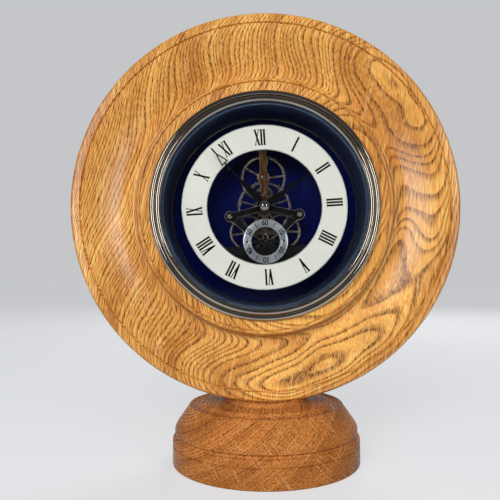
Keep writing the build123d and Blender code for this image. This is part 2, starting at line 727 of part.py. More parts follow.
# Rear frame, which takes the arbors' rear pivots
with BuildPart() as rear_frame:
    with BuildSketch(dial_plane(rear_frame_back)):
        add(strap(top_pillar_place, seconds_place, BAR_WIDTH))
        add(strap(third_place, intermediate_place, ARM_WIDTH))
        for place in pillar_places:
            add(strap((0, 0), place, ARM_WIDTH))
            with Locations(place):
                Circle(PILLAR_RADIUS + REAR_EYE_MARGIN)
        with Locations(top_pillar_place):
            Circle(PILLAR_RADIUS + REAR_EYE_MARGIN)
        Circle(MINUTE_ARBOR_RADIUS + RUNNING_FIT, mode=Mode.SUBTRACT)
        with Locations(third_place, intermediate_place, seconds_place, top_place):
            Circle(PIVOT_RADIUS + RUNNING_FIT, mode=Mode.SUBTRACT)
        with Locations(*pillar_places, top_pillar_place):
            Circle(PILLAR_RADIUS + SNUG_FIT, mode=Mode.SUBTRACT)
    extrude(amount=REAR_FRAME_THICKNESS)
finish(rear_frame, "rear_frame")


def pillar(name, places, front, spigot_front):
    """Round pillars from the back plate, with a spigot at the front and a screw hole at the back."""
    with BuildPart() as posts:
        with BuildSketch(dial_plane(PLATE_DEPTH)):
            with Locations(*places):
                Circle(PILLAR_RADIUS)
        extrude(amount=PLATE_DEPTH - front)
        with BuildSketch(dial_plane(front)):
            with Locations(*places):
                Circle(SPIGOT_RADIUS)
        extrude(amount=front - spigot_front)
        with BuildSketch(dial_plane(PLATE_DEPTH)):
            with Locations(*places):
                Circle(SCREW_RADIUS + SNUG_FIT)
        extrude(amount=SCREW_GRIP + END_PLAY, mode=Mode.SUBTRACT)
    finish(posts, name)


pillar("pillars", pillar_places, bar_front, bridge_front - BALL_NECK_HEIGHT)
pillar("top_pillar", [top_pillar_place], bar_back, bar_front)

# Ball-headed nuts on the pillars
with BuildPart() as ball_nuts:
    for place in pillar_places:
        with BuildSketch(dial_plane(bridge_front, place)):
            Circle(BALL_NECK_RADIUS)
        extrude(amount=BALL_NECK_HEIGHT)
        with Locations(dial_plane(ball_front + BALL_RADIUS, place).origin):
            Sphere(BALL_RADIUS)
        with BuildSketch(dial_plane(bridge_front, place)):
            Circle(SPIGOT_RADIUS + SNUG_FIT)
        extrude(amount=BALL_NECK_HEIGHT + SEAT_GAP, mode=Mode.SUBTRACT)
finish(ball_nuts, "ball_nuts")

# Seconds dial and its two screws
with BuildPart() as seconds_ring:
    with BuildSketch(dial_plane(bridge_front, seconds_place)):
        Circle(SECONDS_OUTER_RADIUS)
        Circle(SECONDS_INNER_RADIUS, mode=Mode.SUBTRACT)
        with Locations((-ring_screw_middle, 0), (ring_screw_middle, 0)):
            Circle(RING_SCREW_RADIUS + SNUG_FIT, mode=Mode.SUBTRACT)
    extrude(amount=SECONDS_RING_THICKNESS)
finish(seconds_ring, "seconds_ring")

with BuildPart() as ring_screws:
    with BuildSketch(dial_plane(bar_front)):
        with Locations(*ring_screw_places):
            Circle(RING_SCREW_RADIUS)
    extrude(amount=BRIDGE_THICKNESS + SECONDS_RING_THICKNESS + RUNNING_FIT)
finish(ring_screws, "ring_screws")

# Stud on the bar for the motion wheel
with BuildPart() as motion_stud:
    with BuildSketch(dial_plane(stud_end, motion_place)):
        Circle(STUD_RADIUS)
    extrude(amount=stud_end - bar_front)
    with BuildSketch(dial_plane(stud_end, motion_place)):
        Circle(STUD_HEAD_RADIUS)
    extrude(amount=STUD_HEAD_THICKNESS)
finish(motion_stud, "motion_stud")

# Minute arbor, which carries the centre wheel, the cannon pinion, the minute hand and the setting knob
centre_first = direction((0, 0), top_place)
top_first = meshed(centre_first, CENTRE_TEETH, direction((0, 0), top_place), LEAVES)
third_first = meshed(centre_first, CENTRE_TEETH, direction((0, 0), third_place), LEAVES)
cannon_first = direction((0, 0), motion_place)
motion_first = meshed(cannon_first, CANNON_LEAVES, cannon_first, MOTION_TEETH)
motion_leaf_first = direction(motion_place, (0, 0))
hour_first = meshed(motion_leaf_first, MOTION_LEAVES, motion_leaf_first, HOUR_TEETH)
third_wheel_first = direction(third_place, seconds_place)
seconds_leaf_first = meshed(third_wheel_first, TRAIN_TEETH, third_wheel_first, LEAVES)
seconds_wheel_first = direction(seconds_place, intermediate_place)
intermediate_leaf_first = meshed(seconds_wheel_first, TRAIN_TEETH, seconds_wheel_first, LEAVES)
intermediate_first = direction(intermediate_place, rotor_place)
rotor_first = meshed(intermediate_first, TRAIN_TEETH, intermediate_first, ROTOR_LEAVES)

knob_back = knob_front + KNOB_THICKNESS
with BuildPart() as minute_arbor:
    with BuildSketch(dial_plane(knob_back - END_PLAY)):
        Circle(MINUTE_ARBOR_RADIUS)
    extrude(amount=knob_back - END_PLAY - dome_back + DOME_SOCKET)
finish(minute_arbor, "minute_arbor")

spoked_wheel(
    "centre_wheel", centre_wheel_back, (0, 0), CENTRE_TEETH, CENTRE_MODULE, centre_first,
    MINUTE_ARBOR_RADIUS + SNUG_FIT,
)

with BuildPart() as cannon_pinion:
    with BuildSketch(dial_plane(motion_wheel_back + PINION_OVERHANG)):
        add(toothed(CANNON_LEAVES, MOTION_MODULE, cannon_first))
        Circle(MINUTE_ARBOR_RADIUS + SNUG_FIT, mode=Mode.SUBTRACT)
    extrude(amount=WHEEL_THICKNESS + 2 * PINION_OVERHANG)
finish(cannon_pinion, "cannon_pinion")

# Domed nut over the minute hand
with BuildPart() as dome_nut:
    with BuildSketch(turning_plane):
        with BuildLine():
            Polyline((0, dome_back - DOME_HEIGHT), (0, dome_back), (DOME_RADIUS, dome_back))
            Spline(
                (DOME_RADIUS, dome_back),
                (0, dome_back - DOME_HEIGHT),
                tangents=[(0, -1), (-1, 0)],
            )
        make_face()
    revolve(axis=dial_axis)
    with BuildSketch(dial_plane(dome_back)):
        Circle(MINUTE_ARBOR_RADIUS + SNUG_FIT)
    extrude(amount=DOME_SOCKET + SEAT_GAP, mode=Mode.SUBTRACT)
finish(dome_nut, "dome_nut")

# Minute hand: a leaf, a fine stem with a small cross, and an open spear whose point reaches the ring
spear_foot = MINUTE_LENGTH - SPEAR_LENGTH
needle_foot = MINUTE_LENGTH - NEEDLE_LENGTH
cross_place = spear_foot - CROSS_SETBACK
with BuildPart() as minute_hand:
    with BuildSketch(dial_plane(minute_hand_back, turn=-MINUTE_ANGLE)):
        Circle(HAND_BOSS_RADIUS)
        leaf_end = (MINUTE_STEM_WIDTH / 2, MINUTE_LEAF_END)
        add(leaf((HAND_ROOT_HALF, 0), (MINUTE_LEAF_HALF, MINUTE_LEAF_WIDEST), leaf_end))
        add(strap((0, MINUTE_LEAF_WIDEST), (0, spear_foot), MINUTE_STEM_WIDTH))
        add(strap((-CROSS_SPAN / 2, cross_place), (CROSS_SPAN / 2, cross_place), MINUTE_STEM_WIDTH))
        with Locations((0, cross_place)):
            RegularPolygon(CROSS_KNOT_RADIUS, 4)
        for side in (-SPEAR_HALF, SPEAR_HALF):
            add(strap((side, spear_foot), (0, needle_foot), SPEAR_STROKE))
        add(strap((-SPEAR_HALF, spear_foot), (SPEAR_HALF, spear_foot), SPEAR_STROKE))
        needle_widest = (NEEDLE_HALF, needle_foot + SPEAR_STROKE)
        add(leaf((SPEAR_STROKE / 2, needle_foot), needle_widest, (HAND_TIP_HALF, MINUTE_LENGTH)))
        Circle(MINUTE_ARBOR_RADIUS + SNUG_FIT, mode=Mode.SUBTRACT)
    extrude(amount=HAND_THICKNESS)
finish(minute_hand, "minute_hand")

# Knob at the back that sets the hands
with BuildPart() as setting_knob:
    with BuildSketch(dial_plane(knob_back)):
        Circle(KNOB_RADIUS)
        with PolarLocations(KNOB_RADIUS + FLUTE_RADIUS - FLUTE_DEPTH, KNOB_FLUTES):
            Circle(FLUTE_RADIUS, mode=Mode.SUBTRACT)
    extrude(amount=KNOB_THICKNESS)
    with BuildSketch(dial_plane(knob_back - END_PLAY)):
        Circle(MINUTE_ARBOR_RADIUS + SNUG_FIT)
    extrude(amount=KNOB_THICKNESS, mode=Mode.SUBTRACT)
finish(setting_knob, "setting_knob")

# Hour wheel, its pipe and the hour hand
spoked_wheel(
    "hour_wheel", hour_wheel_back, (0, 0), HOUR_TEETH, hour_module, hour_first, HOUR_PIPE_RADIUS + SNUG_FIT,
)

hour_hand_front = hour_hand_back - HAND_THICKNESS
with BuildPart() as hour_pipe:
    with BuildSketch(dial_plane(hour_wheel_back)):
        Circle(HOUR_PIPE_RADIUS)
        Circle(MINUTE_ARBOR_RADIUS + RUNNING_FIT, mode=Mode.SUBTRACT)
    extrude(amount=hour_wheel_back - hour_hand_front)
finish(hour_pipe, "hour_pipe")

scroll_place = HOUR_LENGTH - SCROLL_SETBACK
point_foot = HOUR_LENGTH - HOUR_POINT_LENGTH
with BuildPart() as hour_hand:
    with BuildSketch(dial_plane(hour_hand_back, turn=-HOUR_ANGLE)):
        Circle(HAND_BOSS_RADIUS)
        leaf_end = (HOUR_STEM_WIDTH / 2, HOUR_LEAF_END)
        add(leaf((HAND_ROOT_HALF, 0), (HOUR_LEAF_HALF, HOUR_LEAF_WIDEST), leaf_end))
        add(strap((0, HOUR_LEAF_WIDEST), (0, point_foot + SCROLL_RADIUS), HOUR_STEM_WIDTH))
        for side in (-SCROLL_SPREAD, SCROLL_SPREAD):
            with Locations((side, scroll_place)):
                Circle(SCROLL_RADIUS)
                Circle(SCROLL_EYE_RADIUS, mode=Mode.SUBTRACT)
            for end in (-SCROLL_RADIUS, SCROLL_RADIUS):
                add(strap((0, scroll_place + end), (side, scroll_place + end - end / 4), SCROLL_STROKE))
        point_widest = (HOUR_POINT_HALF, point_foot + SCROLL_RADIUS)
        add(leaf((HOUR_STEM_WIDTH / 2, point_foot), point_widest, (HAND_TIP_HALF, HOUR_LENGTH)))
        Circle(HOUR_PIPE_RADIUS + SNUG_FIT, mode=Mode.SUBTRACT)
    extrude(amount=HAND_THICKNESS)
finish(hour_hand, "hour_hand")

# Motion wheel and pinion, which turn on the stud
spoked_wheel(
    "motion_wheel", motion_wheel_back, motion_place, MOTION_TEETH, MOTION_MODULE, motion_first,
    STUD_RADIUS + RUNNING_FIT,
)

with BuildPart() as motion_pinion:
    with BuildSketch(dial_plane(motion_wheel_back - WHEEL_THICKNESS, motion_place)):
        add(toothed(MOTION_LEAVES, hour_module, motion_leaf_first))
        Circle(STUD_RADIUS + RUNNING_FIT, mode=Mode.SUBTRACT)
    extrude(amount=LAYER_GAP + WHEEL_THICKNESS + PINION_OVERHANG)
finish(motion_pinion, "motion_pinion")

# Arbors with cut pinions, and the wheels on them
wheel_bore = ARBOR_RADIUS + SNUG_FIT
arbor_front = bar_back + END_PLAY
arbor_back = rear_frame_front - END_PLAY
leaved_arbor(
    "top_arbor", top_place, arbor_front, arbor_back, (bar_front + SEAT_GAP, rear_frame_back),
    centre_wheel_back, LEAVES, CENTRE_MODULE, top_first,
)
spoked_wheel("top_wheel", top_wheel_back, top_place, TOP_TEETH, CENTRE_MODULE, top_first, wheel_bore)
leaved_arbor(
    "third_arbor", third_place, arbor_front, arbor_back, (bridge_front + SEAT_GAP, rear_frame_back),
    centre_wheel_back, LEAVES, CENTRE_MODULE, third_first,
)
spoked_wheel(
    "third_wheel", third_wheel_back, third_place, TRAIN_TEETH, TRAIN_MODULE, third_wheel_first, wheel_bore,
)
seconds_hand_front = seconds_hand_back - HAND_THICKNESS
leaved_arbor(
    "seconds_arbor", seconds_place, arbor_front, arbor_back, (seconds_hand_front, rear_frame_back),
    third_wheel_back, LEAVES, TRAIN_MODULE, seconds_leaf_first,
)
spoked_wheel(
    "seconds_wheel", seconds_wheel_back, seconds_place, TRAIN_TEETH, TRAIN_MODULE, seconds_wheel_first,
    wheel_bore,
)
leaved_arbor(
    "intermediate_arbor", intermediate_place, arbor_front, arbor_back,
    (bridge_front + SEAT_GAP, rear_frame_back), seconds_wheel_back, LEAVES, TRAIN_MODULE,
    intermediate_leaf_first,
)
spoked_wheel(
    "intermediate_wheel", top_wheel_back, intermediate_place, TRAIN_TEETH, TRAIN_MODULE, intermediate_first,
    wheel_bore,
)

# Seconds hand
with BuildPart() as seconds_hand:
    with BuildSketch(dial_plane(seconds_hand_back, seconds_place, -SECONDS_ANGLE)):
        Circle(SECONDS_BOSS_RADIUS)
        tail = (SECONDS_TAIL_HALF, -SECONDS_TAIL_LENGTH)
        add(leaf(tail, (SECONDS_MIDDLE_HALF, 0), (HAND_TIP_HALF, SECONDS_HAND_LENGTH)))
        Circle(PIVOT_RADIUS + SNUG_FIT, mode=Mode.SUBTRACT)
    extrude(amount=HAND_THICKNESS)
finish(seconds_hand, "seconds_hand")

# Drive housing: a cut-off round box with an open-topped wheel chamber in front and a battery bay behind
bay_end = (BATTERY_LENGTH + NUB_LENGTH) / 2 + SEAT_GAP + CONTACT_THICKNESS
with BuildPart() as drive_housing:
    with BuildSketch(dial_plane(chamber_front)):
        add(segment(HOUSING_RADIUS, HOUSING_TOP))
    extrude(amount=HOUSING_WALL)
    with BuildSketch(dial_plane(PLATE_DEPTH)):
        add(segment(HOUSING_RADIUS, HOUSING_TOP))
        add(segment(inner_radius, HOUSING_TOP), mode=Mode.SUBTRACT)
        with Locations(*housing_screw_places):
            Circle(SCREW_HEAD_RADIUS)
            Circle(SCREW_RADIUS + SNUG_FIT, mode=Mode.SUBTRACT)
    extrude(amount=PLATE_DEPTH - chamber_front)
    with BuildSketch(dial_plane(partition_back)):
        add(segment(HOUSING_RADIUS, HOUSING_TOP))
    extrude(amount=HOUSING_WALL)
    with BuildSketch(dial_plane(PLATE_DEPTH)):
        add(segment(HOUSING_RADIUS, HOUSING_TOP))
        add(segment(HOUSING_RADIUS, HOUSING_TOP - HOUSING_WALL), mode=Mode.SUBTRACT)
    extrude(amount=PLATE_DEPTH - partition_front)
    with BuildSketch(dial_plane(PLATE_DEPTH)):
        with Locations((-bay_end - HOUSING_WALL / 2, 0), (bay_end + HOUSING_WALL / 2, 0)):
            Rectangle(HOUSING_WALL, 2 * HOUSING_RADIUS)
        add(segment(HOUSING_RADIUS, HOUSING_TOP), mode=Mode.INTERSECT)
    extrude(amount=PLATE_DEPTH - partition_front)
    with BuildSketch(dial_plane(chamber_front, rotor_place)):
        Circle(PIVOT_RADIUS + RUNNING_FIT)
    extrude(amount=HOUSING_WALL / 2, mode=Mode.SUBTRACT)
    with BuildSketch(dial_plane(partition_back, rotor_place)):
        Circle(PIVOT_RADIUS + RUNNING_FIT)
    extrude(amount=HOUSING_WALL, mode=Mode.SUBTRACT)
finish(drive_housing, "drive_housing")

# Rotor: a magnet and a pinion on a fine arbor
magnet_back = top_wheel_back + LAYER_GAP + PINION_OVERHANG + MAGNET_THICKNESS
leaved_arbor(
    "rotor_arbor", rotor_place, chamber_front + END_PLAY, partition_front - END_PLAY,
    (chamber_front - HOUSING_WALL / 2 + RUNNING_FIT, partition_back), top_wheel_back, ROTOR_LEAVES,
    TRAIN_MODULE, rotor_first,
)
with BuildPart() as rotor_magnet:
    with BuildSketch(dial_plane(magnet_back, rotor_place)):
        Circle(MAGNET_RADIUS)
        Circle(wheel_bore, mode=Mode.SUBTRACT)
    extrude(amount=MAGNET_THICKNESS)
finish(rotor_magnet, "rotor_magnet")

# Stator: a soft-iron frame round the magnet, closed by the coil's core
stator_back = magnet_back - (MAGNET_THICKNESS - STATOR_THICKNESS) / 2
stator_hole = MAGNET_RADIUS + STATOR_GAP
stator_top = rotor_place[1] + stator_hole + STATOR_MARGIN
stator_left = rotor_place[0] - stator_hole - STATOR_MARGIN - STATOR_LEG / 2
stator_right = stator_left + STATOR_WIDTH
coil_left = stator_left + STATOR_LEG
coil_right = stator_right - STATOR_LEG
coil_middle = (coil_left + coil_right) / 2
coil_half = COIL_RADIUS + STATOR_GAP
with BuildPart() as stator:
    with BuildSketch(dial_plane(stator_back)):
        with Locations((stator_left, stator_top)):
            Rectangle(STATOR_WIDTH, stator_top + COIL_DROP + coil_half, align=(Align.MIN, Align.MAX))
        with Locations((coil_middle, -COIL_DROP)):
            Rectangle(coil_right - coil_left, 2 * coil_half, mode=Mode.SUBTRACT)
            Rectangle(coil_right - coil_left, 2 * CORE_HALF)
        with Locations(rotor_place):
            Circle(stator_hole, mode=Mode.SUBTRACT)
    extrude(amount=STATOR_THICKNESS)
finish(stator, "stator")

# Coil on the stator's core
coil_length = coil_right - coil_left - 2 * SEAT_GAP
coil_depth = stator_back - STATOR_THICKNESS / 2
coil_plane = dial_plane(coil_depth, (coil_middle, -COIL_DROP))
with BuildPart() as coil:
    with BuildSketch(coil_plane):
        with Locations((0, COIL_RADIUS / 2)):
            Rectangle(coil_length, COIL_RADIUS)
    revolve(axis=Axis(coil_plane.origin, coil_plane.x_dir))
    with BuildSketch(dial_plane(stator_back + SEAT_GAP, (coil_middle, -COIL_DROP))):
        Rectangle(2 * coil_length, 2 * (CORE_HALF + SEAT_GAP))
    extrude(amount=STATOR_THICKNESS + 2 * SEAT_GAP, mode=Mode.SUBTRACT)
finish(coil, "coil")

# Circuit board against the partition, and its crystal
with BuildPart() as circuit_board:
    with BuildSketch(dial_plane(partition_front, BOARD_CENTRE)):
        Rectangle(BOARD_WIDTH, BOARD_HEIGHT)
    extrude(amount=BOARD_THICKNESS)
    with BuildSketch(dial_plane(partition_front - BOARD_THICKNESS, BOARD_CENTRE)):
        Circle(CHIP_RADIUS)
    extrude(amount=CHIP_THICKNESS)
finish(circuit_board, "circuit_board")

crystal_place = (BOARD_CENTRE[0] - CRYSTAL_SETBACK, BOARD_CENTRE[1])
crystal_plane = dial_plane(partition_front - BOARD_THICKNESS - CRYSTAL_RADIUS, crystal_place)
with BuildPart() as crystal:
    with BuildSketch(crystal_plane):
        with Locations((CRYSTAL_RADIUS / 2, 0)):
            Rectangle(CRYSTAL_RADIUS, CRYSTAL_LENGTH)
    revolve(axis=Axis(crystal_plane.origin, crystal_plane.y_dir))
finish(crystal, "crystal")

# Battery contacts and the cell, which lifts out through the back
contact_place = bay_end - CONTACT_THICKNESS / 2
with BuildPart() as contacts:
    with BuildSketch(dial_plane(battery_depth + CONTACT_SIZE / 2)):
        with Locations((-contact_place, -BATTERY_DROP), (contact_place, -BATTERY_DROP)):
            Rectangle(CONTACT_THICKNESS, CONTACT_SIZE)
    extrude(amount=CONTACT_SIZE)
finish(contacts, "contacts")

battery_plane = dial_plane(battery_depth, (-NUB_LENGTH / 2, -BATTERY_DROP))
with BuildPart() as battery:
    with BuildSketch(battery_plane):
        with Locations((0, BATTERY_RADIUS / 2)):
            Rectangle(BATTERY_LENGTH, BATTERY_RADIUS)
        with Locations((BATTERY_LENGTH / 2, NUB_RADIUS / 2)):
            Rectangle(2 * NUB_LENGTH, NUB_RADIUS)
    revolve(axis=Axis(battery_plane.origin, battery_plane.x_dir))
finish(battery, "battery")
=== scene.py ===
from math import atan2, cos, pi, radians, sin, sqrt

import bmesh
import bpy
from mathutils import Matrix, Vector
from mathutils.geometry import interpolate_bezier


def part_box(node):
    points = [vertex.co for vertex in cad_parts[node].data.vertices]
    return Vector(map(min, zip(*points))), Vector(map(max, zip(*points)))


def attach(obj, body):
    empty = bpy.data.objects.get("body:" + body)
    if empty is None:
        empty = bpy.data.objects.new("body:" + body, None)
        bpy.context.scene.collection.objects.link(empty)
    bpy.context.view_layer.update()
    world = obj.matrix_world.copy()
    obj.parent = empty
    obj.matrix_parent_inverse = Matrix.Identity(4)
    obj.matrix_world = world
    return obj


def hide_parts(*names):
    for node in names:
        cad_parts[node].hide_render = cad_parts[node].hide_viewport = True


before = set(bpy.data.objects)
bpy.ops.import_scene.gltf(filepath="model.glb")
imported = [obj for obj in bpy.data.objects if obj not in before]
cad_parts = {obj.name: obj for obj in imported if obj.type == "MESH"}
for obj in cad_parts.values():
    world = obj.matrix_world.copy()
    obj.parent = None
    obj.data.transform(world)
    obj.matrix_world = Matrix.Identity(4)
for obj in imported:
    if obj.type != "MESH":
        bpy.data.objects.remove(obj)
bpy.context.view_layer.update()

# A turned oak desk clock with a skeleton insert. Lengths are in millimetres until a piece is made.
MM = 0.001
CASE = "clock_case"

# Which edges are broken or shaded smooth, and how squarely a flat front faces the viewer
SHARP_EDGE = radians(50)
SMOOTH_BELOW = radians(38)
FLAT_FRONT = 0.95

# Driving sizes, as in the solids
disc_low, disc_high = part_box("oak_disc")
base_low, base_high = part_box("oak_base")
bezel_low, bezel_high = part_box("bezel")
DIAL = Vector((0.0, disc_low.y, (disc_low.z + disc_high.z) / 2))
DISC_RADIUS = (disc_high.x - disc_low.x) / 2 / MM
DISC_THICKNESS = (disc_high.y - disc_low.y) / MM
BASE_RADIUS = (base_high.x - base_low.x) / 2 / MM
BEZEL_RADIUS = (bezel_high.z - bezel_low.z) / 2 / MM
INSERT_TURN = 1.4
NUMERAL_TURN = 1.9


def depth_of(name):
    """How far a solid's front and back lie behind the disc's rim, in millimetres."""
    low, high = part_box(name)
    return (low.y - DIAL.y) / MM, (high.y - DIAL.y) / MM


# Outlines and placing
def arc(start, through, end, count=14):
    """Points of the circle arc that runs from start to end through a third place."""
    (ax, ay), (bx, by), (cx, cy) = start, through, end
    a, b, c = ax**2 + ay**2, bx**2 + by**2, cx**2 + cy**2
    twice_area = 2 * (ax * (by - cy) + bx * (cy - ay) + cx * (ay - by))
    middle_x = (a * (by - cy) + b * (cy - ay) + c * (ay - by)) / twice_area
    middle_y = (a * (cx - bx) + b * (ax - cx) + c * (bx - ax)) / twice_area
    radius = sqrt((ax - middle_x) ** 2 + (ay - middle_y) ** 2)
    first = atan2(ay - middle_y, ax - middle_x)
    sense = -1 if twice_area < 0 else 1
    sweep = (sense * (atan2(cy - middle_y, cx - middle_x) - first)) % (2 * pi)
    angles = [first + sense * sweep * step / count for step in range(count + 1)]
    return [(middle_x + radius * cos(angle), middle_y + radius * sin(angle)) for angle in angles]


def bend(start, leave, arrive, end, count=14):
    """Points of a curve that leaves start towards one handle and reaches end from another."""
    return [tuple(point) for point in interpolate_bezier(start, leave, arrive, end, count + 1)]


def rounded(start, corner, end, count=6):
    """Points that round a corner from start to end."""
    share = 0.55
    leave = [a + (b - a) * share for a, b in zip(start, corner)]
    arrive = [a + (b - a) * share for a, b in zip(end, corner)]
    return bend(start, leave, arrive, end, count)


def on_dial(depth, across=0.0, up=0.0, turn=0.0):
    """Takes a flat drawing in millimetres, with z towards the viewer, to its place on the insert."""
    facing = Matrix.Rotation(radians(90), 4, "X")
    tilt = Matrix.Rotation(radians(INSERT_TURN), 4, "Z")
    place = Matrix.Translation((across, up, -depth)) @ Matrix.Rotation(radians(turn), 4, "Z")
    return Matrix.Translation(DIAL) @ Matrix.Scale(MM, 4) @ facing @ tilt @ place


def spun(outline, steps, place, closed=True):
    """A bmesh turned on a lathe from (radius, height) points, with height along z, then put in place."""
    shape = bmesh.new()
    corners = [shape.verts.new((radius, 0.0, height)) for radius, height in outline]
    edges = [shape.edges.new(pair) for pair in zip(corners, corners[1:])]
    if closed:
        edges.append(shape.edges.new((corners[-1], corners[0])))
    bmesh.ops.spin(
        shape,
        geom=corners + edges,
        cent=(0, 0, 0),
        axis=(0, 0, 1),
        angle=2 * pi,
        steps=steps,
        use_merge=True,
    )
    bmesh.ops.remove_doubles(shape, verts=shape.verts, dist=0.002)
    bmesh.ops.recalc_face_normals(shape, faces=shape.faces)
    bmesh.ops.transform(shape, matrix=place, verts=shape.verts)
    return shape


def turned(outline, steps=192):
    """A bmesh turned about the dial's axis from (radius, depth) points."""
    return spun([(radius, -depth) for radius, depth in outline], steps, on_dial(0))


def softened(name, width):
    """A copy of a solid's mesh with its sharp edges broken. Edges and sides take the second finish."""
    shape = bmesh.new()
    shape.from_mesh(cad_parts[name].data)
    bmesh.ops.remove_doubles(shape, verts=shape.verts, dist=1e-7)
    bmesh.ops.dissolve_limit(shape, angle_limit=radians(0.5), verts=shape.verts, edges=shape.edges)
    sharp = [edge for edge in shape.edges if edge.is_manifold and edge.calc_face_angle() > SHARP_EDGE]
    broken = bmesh.ops.bevel(
        shape,
        geom=sharp,
        offset=width * MM,
        affect="EDGES",
        segments=2,
        profile=0.5,
        material=-1,
        clamp_overlap=True,
    )
    for face in broken["faces"]:
        face.material_index = 1
    for face in shape.faces:
        if abs(face.normal.y) < FLAT_FRONT:
            face.material_index = 1
    return shape


def slab(shape, outline, thickness):
    """Adds a flat plate with the given outline, rising from z = 0."""
    face = shape.faces.new([shape.verts.new((across, up, 0.0)) for across, up in outline])
    risen = bmesh.ops.extrude_face_region(shape, geom=[face])
    top = [part for part in risen["geom"] if isinstance(part, bmesh.types.BMVert)]
    bmesh.ops.translate(shape, verts=top, vec=(0, 0, thickness))


def lettering(shape, text, height, thickness, place):
    """Adds plain figures, centred, to a bmesh."""
    curve = bpy.data.curves.new("figures", "FONT")
    curve.body = text
    curve.size = height
    curve.extrude = thickness
    curve.offset = height * 0.018
    curve.align_x = "CENTER"
    curve.align_y = "CENTER"
    written = bpy.data.objects.new("figures", curve)
    mesh = bpy.data.meshes.new_from_object(written)
    mesh.transform(place)
    shape.from_mesh(mesh)
    bpy.data.objects.remove(written)
    bpy.data.curves.remove(curve)
    bpy.data.meshes.remove(mesh)


def add_copy(shape, single, place):
    """Puts a small drawing in place and adds it to a larger bmesh."""
    bmesh.ops.transform(single, matrix=place, verts=single.verts)
    mesh = bpy.data.meshes.new("copy")
    single.to_mesh(mesh)
    single.free()
    shape.from_mesh(mesh)
    bpy.data.meshes.remove(mesh)


def piece(shape, name, slot, body=CASE, stands_for=None, edge_slot=None):
    """Makes a finished bmesh a named object that rides on a body and may stand for a solid."""
    for face in shape.faces:
        face.smooth = True
    for edge in shape.edges:
        edge.smooth = edge.is_manifold and edge.calc_face_angle() < SMOOTH_BELOW
    mesh = bpy.data.meshes.new(name)
    shape.to_mesh(mesh)
    shape.free()
    for finish in (slot, edge_slot or slot):
        mesh.materials.append(FINISHES[finish])
    made = bpy.data.objects.new(name, mesh)
    bpy.context.scene.collection.objects.link(made)
    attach(made, body)
    if stands_for:
        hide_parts(stands_for)
    return made


# Shader helpers
def tint(red, green, blue):
    """A colour given as it looks on a screen, 0 to 255."""
    shares = [value / 255 for value in (red, green, blue)]
    return [s / 12.92 if s < 0.04 else ((s + 0.055) / 1.055) ** 2.4 for s in shares] + [1.0]


def join(tree, value, socket):
    """Sets a socket to a value, or links another socket to it."""
    if isinstance(value, bpy.types.NodeSocket):
        tree.links.new(value, socket)
    else:
        socket.default_value = value


def node(tree, kind, settings, **inputs):
    """A shader node with its settings and named inputs."""
    made = tree.nodes.new("ShaderNode" + kind)
    for name, value in settings.items():
        setattr(made, name, value)
    for name, value in inputs.items():
        join(tree, value, made.inputs[name.replace("_", " ")])
    return made


def sums(tree, operation, *values):
    """A Math node's result."""
    made = tree.nodes.new("ShaderNodeMath")
    made.operation = operation
    for value, socket in zip(values, made.inputs):
        join(tree, value, socket)
    return made.outputs[0]


def fade(tree, value, low, high):
    """0 at low and 1 at high, with a smooth step between."""
    settings = {"interpolation_type": "SMOOTHSTEP"}
    return node(tree, "MapRange", settings, Value=value, From_Min=low, From_Max=high).outputs[0]


def between(tree, value, low, high):
    """Spreads a value of 0 to 1 over a range."""
    return node(tree, "MapRange", {}, Value=value, To_Min=low, To_Max=high).outputs[0]


def blend(tree, share, first, second, kind="MIX"):
    """A mix of two colours."""
    made = tree.nodes.new("ShaderNodeMix")
    made.data_type = "RGBA"
    made.blend_type = kind
    join(tree, share, made.inputs[0])
    join(tree, first, made.inputs[6])
    join(tree, second, made.inputs[7])
    return made.outputs[2]


def stretched(tree, vector, scale):
    """A vector scaled along its axes."""
    made = node(tree, "VectorMath", {"operation": "MULTIPLY"})
    join(tree, vector, made.inputs[0])
    join(tree, scale, made.inputs[1])
    return made.outputs[0]


def clouds(tree, vector, scale, detail=2.0):
    """A noise value with blots of about 1 / scale metres."""
    return node(tree, "TexNoise", {}, Vector=vector, Scale=scale, Detail=detail).outputs[0]


def effect_group(name, inputs, outputs):
    """An empty node group with its sockets, and its input and output nodes."""
    tree = bpy.data.node_groups.new(name, "ShaderNodeTree")
    for label, kind, value in inputs:
        socket = tree.interface.new_socket(label, in_out="INPUT", socket_type="NodeSocket" + kind)
        if kind == "Float":
            socket.default_value = value
    for label in outputs:
        tree.interface.new_socket(label, in_out="OUTPUT", socket_type="NodeSocketFloat")
    return tree, tree.nodes.new("NodeGroupInput").outputs, tree.nodes.new("NodeGroupOutput").inputs


